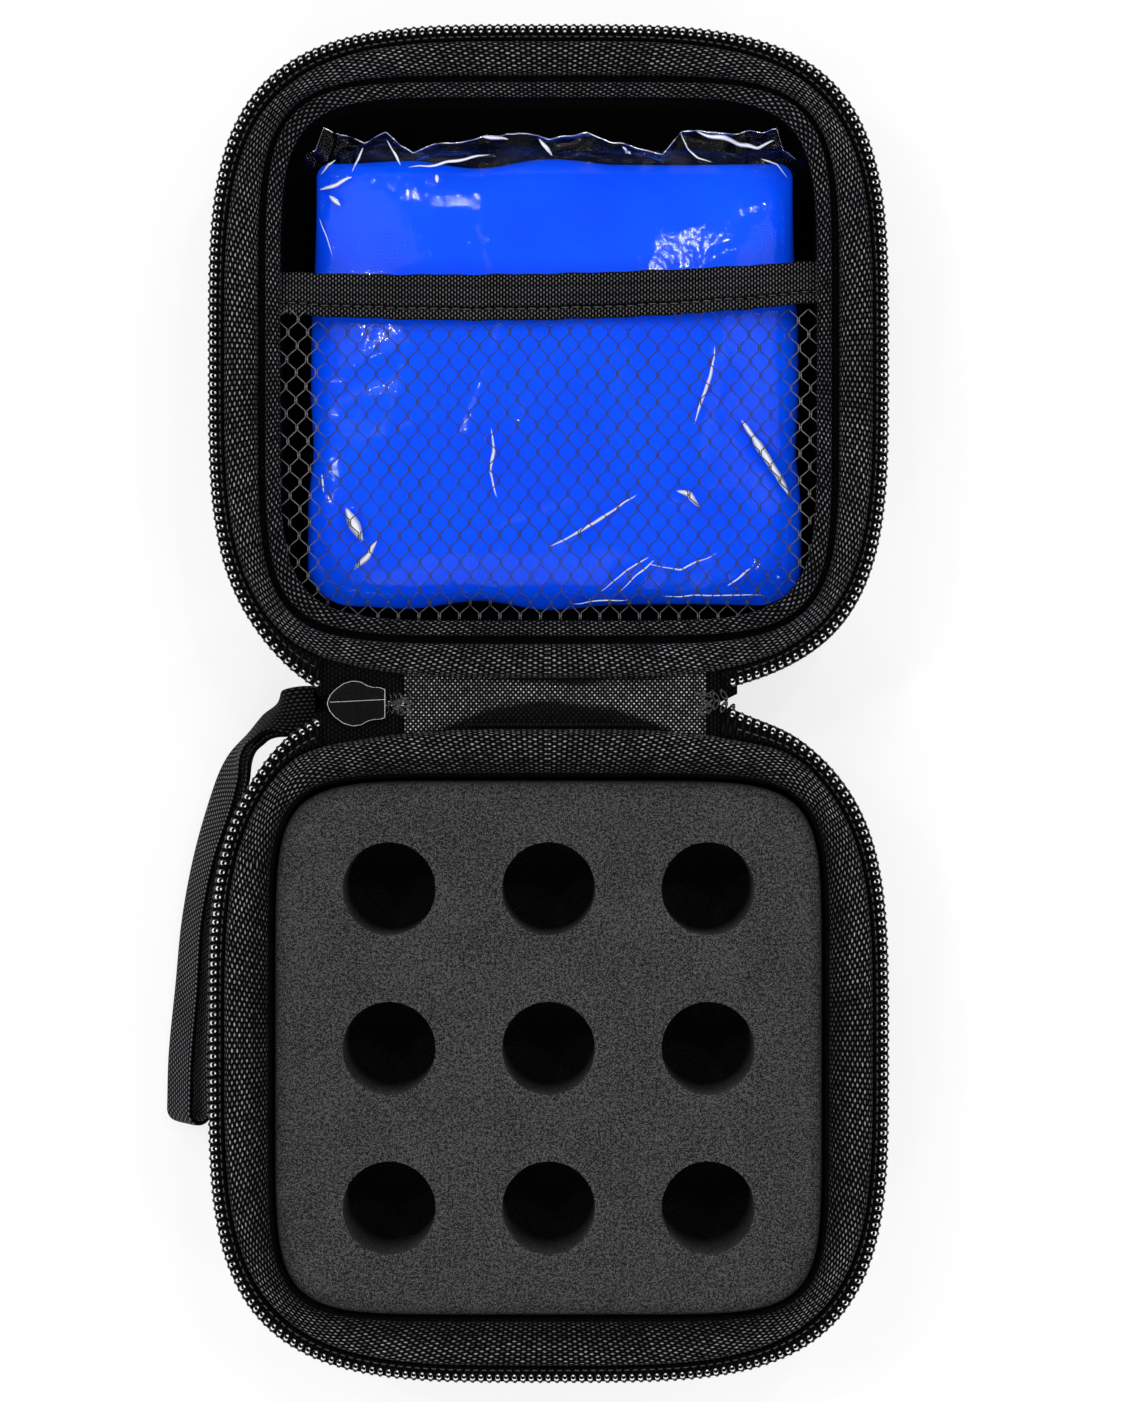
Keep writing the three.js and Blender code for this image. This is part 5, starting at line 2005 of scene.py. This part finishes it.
@dataclass
class WristStrap(Assembly):
    """The webbing loop: two runs from its sewn root to the turn at its far end.

    Args:
        reach: Length that the route's shares multiply.
        gaps: Clear distance between the runs at the root and at the far end.
        route: The loop's line: X, Y and Z as shares of the reach, and its turn on edge from 0 to 1.
    """

    reach: float = 76.0
    root: Triple = (-43.0, 61.9, 24.85)
    width: float = 8.6
    thickness: float = 1.15
    gaps: Pair = (0.3, 3.0)
    route: Sequence[tuple[float, float, float, float]] = (
        (0, 0, 0, 0),
        (-0.045, -0.004, 0.0025, 0.04),
        (-0.088, -0.024, -0.02, 0.66),
        (-0.128, -0.05, -0.045, 0.82),
        (-0.163, -0.09, -0.07, 0.9),
        (-0.196, -0.152, -0.1, 0.68),
        (-0.226, -0.23, -0.135, 0.62),
        (-0.27, -0.368, -0.175, 0.66),
        (-0.301, -0.526, -0.21, 0.66),
        (-0.316, -0.697, -0.238, 0.62),
        (-0.33, -0.865, -0.252, 0.6),
        (-0.331, -1.0, -0.255, 0.6),
    )

    def smooth_route(self, count: int) -> Array:
        """The route as a smooth curve of a number of points."""
        nodes = np.array(self.route, float)
        padded = np.vstack([2 * nodes[0] - nodes[1], nodes, 2 * nodes[-1] - nodes[-2]])
        made = []
        for place in np.linspace(0, len(nodes) - 1.000001, count):
            i, t = int(place), place - int(place)
            a, b, c, d = padded[i : i + 4]
            square, cube = 2 * a - 5 * b + 4 * c - d, 3 * b - a - 3 * c + d
            made.append(0.5 * (2 * b + (c - a) * t + square * t**2 + cube * t**3))
        return np.array(made)

    def loop(self) -> None:
        """The two runs of webbing, back to back, with the turn that joins them."""
        route = self.smooth_route(150)
        middle = np.array(self.root) + route[:, :3] * self.reach
        forward = unit(np.gradient(middle, axis=0))
        flat = unit(np.cross([0, 0, 1], forward))
        lift = route[:, 3:] * QUARTER_TURN
        across = flat * np.cos(lift) + np.cross(forward, flat) * np.sin(lift)
        normal = np.cross(forward, across)
        near, far = self.gaps
        spread = np.linspace(0, 1, len(middle)) ** 2.5
        half = (near + (far - near) * spread + self.thickness)[:, None] / 2
        turn = np.linspace(0, math.pi, 18)[1:-1]
        out = np.array([normal[-1] * math.cos(a) + forward[-1] * math.sin(a) for a in turn])
        offset = normal * half
        centres = np.vstack([middle + offset, middle[-1] + out * half[-1], (middle - offset)[::-1]])
        sides = np.vstack([across, np.repeat(across[-1:], len(turn), 0), across[::-1]])
        faces = np.vstack([normal, out, -normal[::-1]])
        wide, thick = self.width / 2, self.thickness / 2
        section = rounded_section((-wide, -thick), (wide, thick), 5.0, 44)
        points = centres[:, None] + sides[:, None] * section[:, :1] + faces[:, None] * section[:, 1:]
        pattern = stacked(run_length(centres)[:, None], section[:, 0])
        pattern = np.concatenate([pattern[:1], pattern, pattern[-1:]])
        loop = grid_piece("wrist_strap_loop", capped(points), pattern, angle=60)
        # Painted shade: the run near the root is darkened.
        mark(loop, 0.85 * np.clip((points_of(loop)[:, 0] + 57.0) / 4.0, 0, 1))
        self.wardrobe.dress(loop, "strap_webbing", "strap", "wrist_strap")

    def tab(self) -> None:
        """The cloth tab under the strap's root, darkened all over as painted shade."""
        low, high = node_box("strap_anchor")
        section = rounded_section((low.y, low.z), (high.y + 1.9, high.z), 6.0, 60)
        rows = [stacked(x, section[:, 0], section[:, 1]) for x in np.linspace(low.x, high.x + 1.8, 12)]
        tab = grid_piece("strap_tab", capped(np.stack(rows)), angle=60)
        # Painted shade over the whole tab under the strap's root.
        mark(tab, np.full(len(tab.data.vertices), 0.8))
        self.wardrobe.dress(tab, "strap_webbing", "base", "strap_anchor")

    def build(self) -> None:
        """Builds the loop and the tab under its root."""
        self.loop()
        self.tab()


# ---- studio


@dataclass
class Studio:
    """Pale floor, soft light from above and the camera straight over the case.

    Args:
        centre: X and Y under the camera, in metres.
        height: Height of the camera.
        field_of_view: Its vertical angle in degrees.
        key: Power of each soft lamp, in watts.
        glint: Power of each small lamp.
        fill: Strength of the world's light.
        paleness: Share of plain white in what is seen of the floor.
        target: What the lamps point at, in metres.
        lamp_height: Height of the lamps.
    """

    centre: Pair = (0.00227, 0.06335)
    height: float = 0.6825
    field_of_view: float = 22.2
    key: float = 4.6
    glint: float = 1.7
    fill: float = 0.5
    paleness: float = 0.75
    target: Triple = (0.0, 0.0629, 0.02)
    lamp_height: float = 1.25

    def floor(self) -> None:
        """A wide pale floor, shaded by the case and white where the camera sees past it."""
        floor = primitive("plane", size=6.0, location=(0, 0, -0.0002))
        floor.name = "studio_floor"
        material = bpy.data.materials.new("pale_floor")
        material.use_nodes = True
        graph = Graph(material.node_tree)
        shader = material.node_tree.nodes["Principled BSDF"]
        cloud = graph.noise(graph.node("TexCoord").outputs["Object"], 3.0)
        graph.put(shader.inputs["Base Color"], graph.mix(cloud, (0.90, 0.90, 0.90), (0.93, 0.93, 0.93)))
        graph.put(shader.inputs["Roughness"], 0.9)
        path = graph.node("LightPath").outputs
        direct = graph.math("MAXIMUM", path["Is Camera Ray"], path["Is Transmission Ray"])
        direct = graph.math("MAXIMUM", direct, path["Is Glossy Ray"])
        blend = graph.node("MixShader")
        parts = (graph.times(direct, self.paleness), shader.outputs[0], graph.node("Emission").outputs[0])
        for socket, value in zip(blend.inputs, parts):
            graph.put(socket, value)
        graph.put(material.node_tree.nodes["Material Output"].inputs["Surface"], blend.outputs[0])
        floor.data.materials.append(material)

    def lights(self) -> None:
        """Soft lamps round the camera give the shading, small ones the glints, and the world fills in."""
        target = Vector(self.target)
        soft = [(-0.75, 0.62), (0.95, 0.3), (-0.1, -0.95)]
        small = [(-1.0, 0.05), (0.55, 0.85), (0.75, -0.6), (-0.45, -0.85)]
        small += [(-0.25, 1.0), (0.3, 0.5), (-0.6, 0.35)]
        lamps = [(f"soft_lamp_{i}", place, 0.9, self.key) for i, place in enumerate(soft)]
        lamps += [(f"glint_lamp_{i}", place, 0.09, self.glint) for i, place in enumerate(small)]
        for name, (x, y), size, power in lamps:
            place = (target.x + x, target.y + y, self.lamp_height)
            deselect()
            bpy.ops.object.light_add(type="AREA", location=place)
            lamp = bpy.context.active_object
            lamp.name = name
            lamp.data.shape, lamp.data.size, lamp.data.energy = "DISK", size, power
            lamp.rotation_euler = (target - Vector(place)).to_track_quat("-Z", "Y").to_euler()

    def world(self) -> None:
        """The world's even light, white where it is seen straight."""
        world = bpy.data.worlds.new("studio_world")
        world.use_nodes = True
        bpy.context.scene.world = world
        graph = Graph(world.node_tree)
        background = world.node_tree.nodes["Background"]
        graph.put(background.inputs["Color"], (1.0, 1.0, 1.0, 1.0))
        path = graph.node("LightPath").outputs
        straight = graph.math("MAXIMUM", path["Is Camera Ray"], path["Is Transmission Ray"])
        graph.put(background.inputs["Strength"], graph.line(straight, 1.0 - self.fill, self.fill))

    def camera(self) -> None:
        """The camera at the photograph's angle."""
        deselect()
        bpy.ops.object.camera_add(location=(*self.centre, self.height), rotation=(0, 0, 0))
        camera = bpy.context.active_object
        camera.name = "camera"
        sensor = 36.0
        camera.data.sensor_fit, camera.data.sensor_height = "VERTICAL", sensor
        camera.data.lens = sensor / 2 / math.tan(math.radians(self.field_of_view / 2))
        camera.data.clip_start = 0.01
        bpy.context.scene.camera = camera
        bpy.context.scene.view_settings.view_transform = "Standard"

    def build(self) -> None:
        """Builds the camera, the floor and the lights."""
        self.camera()
        self.floor()
        self.lights()
        self.world()


def main() -> None:
    """Builds the case piece by piece."""
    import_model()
    Studio().build()
    shared = (CaseSizes.from_frame(), Wardrobe())
    base_bulges, lid_bulges = ((-47, 8, 1.9), (45, 7, 1.2)), ((-47, 8, 0.9),)
    base_roll, lid_roll = ((2.85, 24.67), (10.9, 32.23)), ((2.8, 24.9), (9.0, 32.1))
    assemblies = [
        WristStrap(*shared),
        RimHalf(*shared, Half.BASE, base_roll, 0.32, 29.5, (2.6, 3.0), base_bulges),
        RimHalf(*shared, Half.LID, lid_roll, 0.22, 28.7, (3.4, 0.8), lid_bulges),
        FoamBlock(*shared),
        LidPocket(*shared),
        HingeBridge(*shared),
        ZipSlider(*shared),
    ]
    for assembly in assemblies:
        assembly.build()


if __name__ == "__main__":
    main()
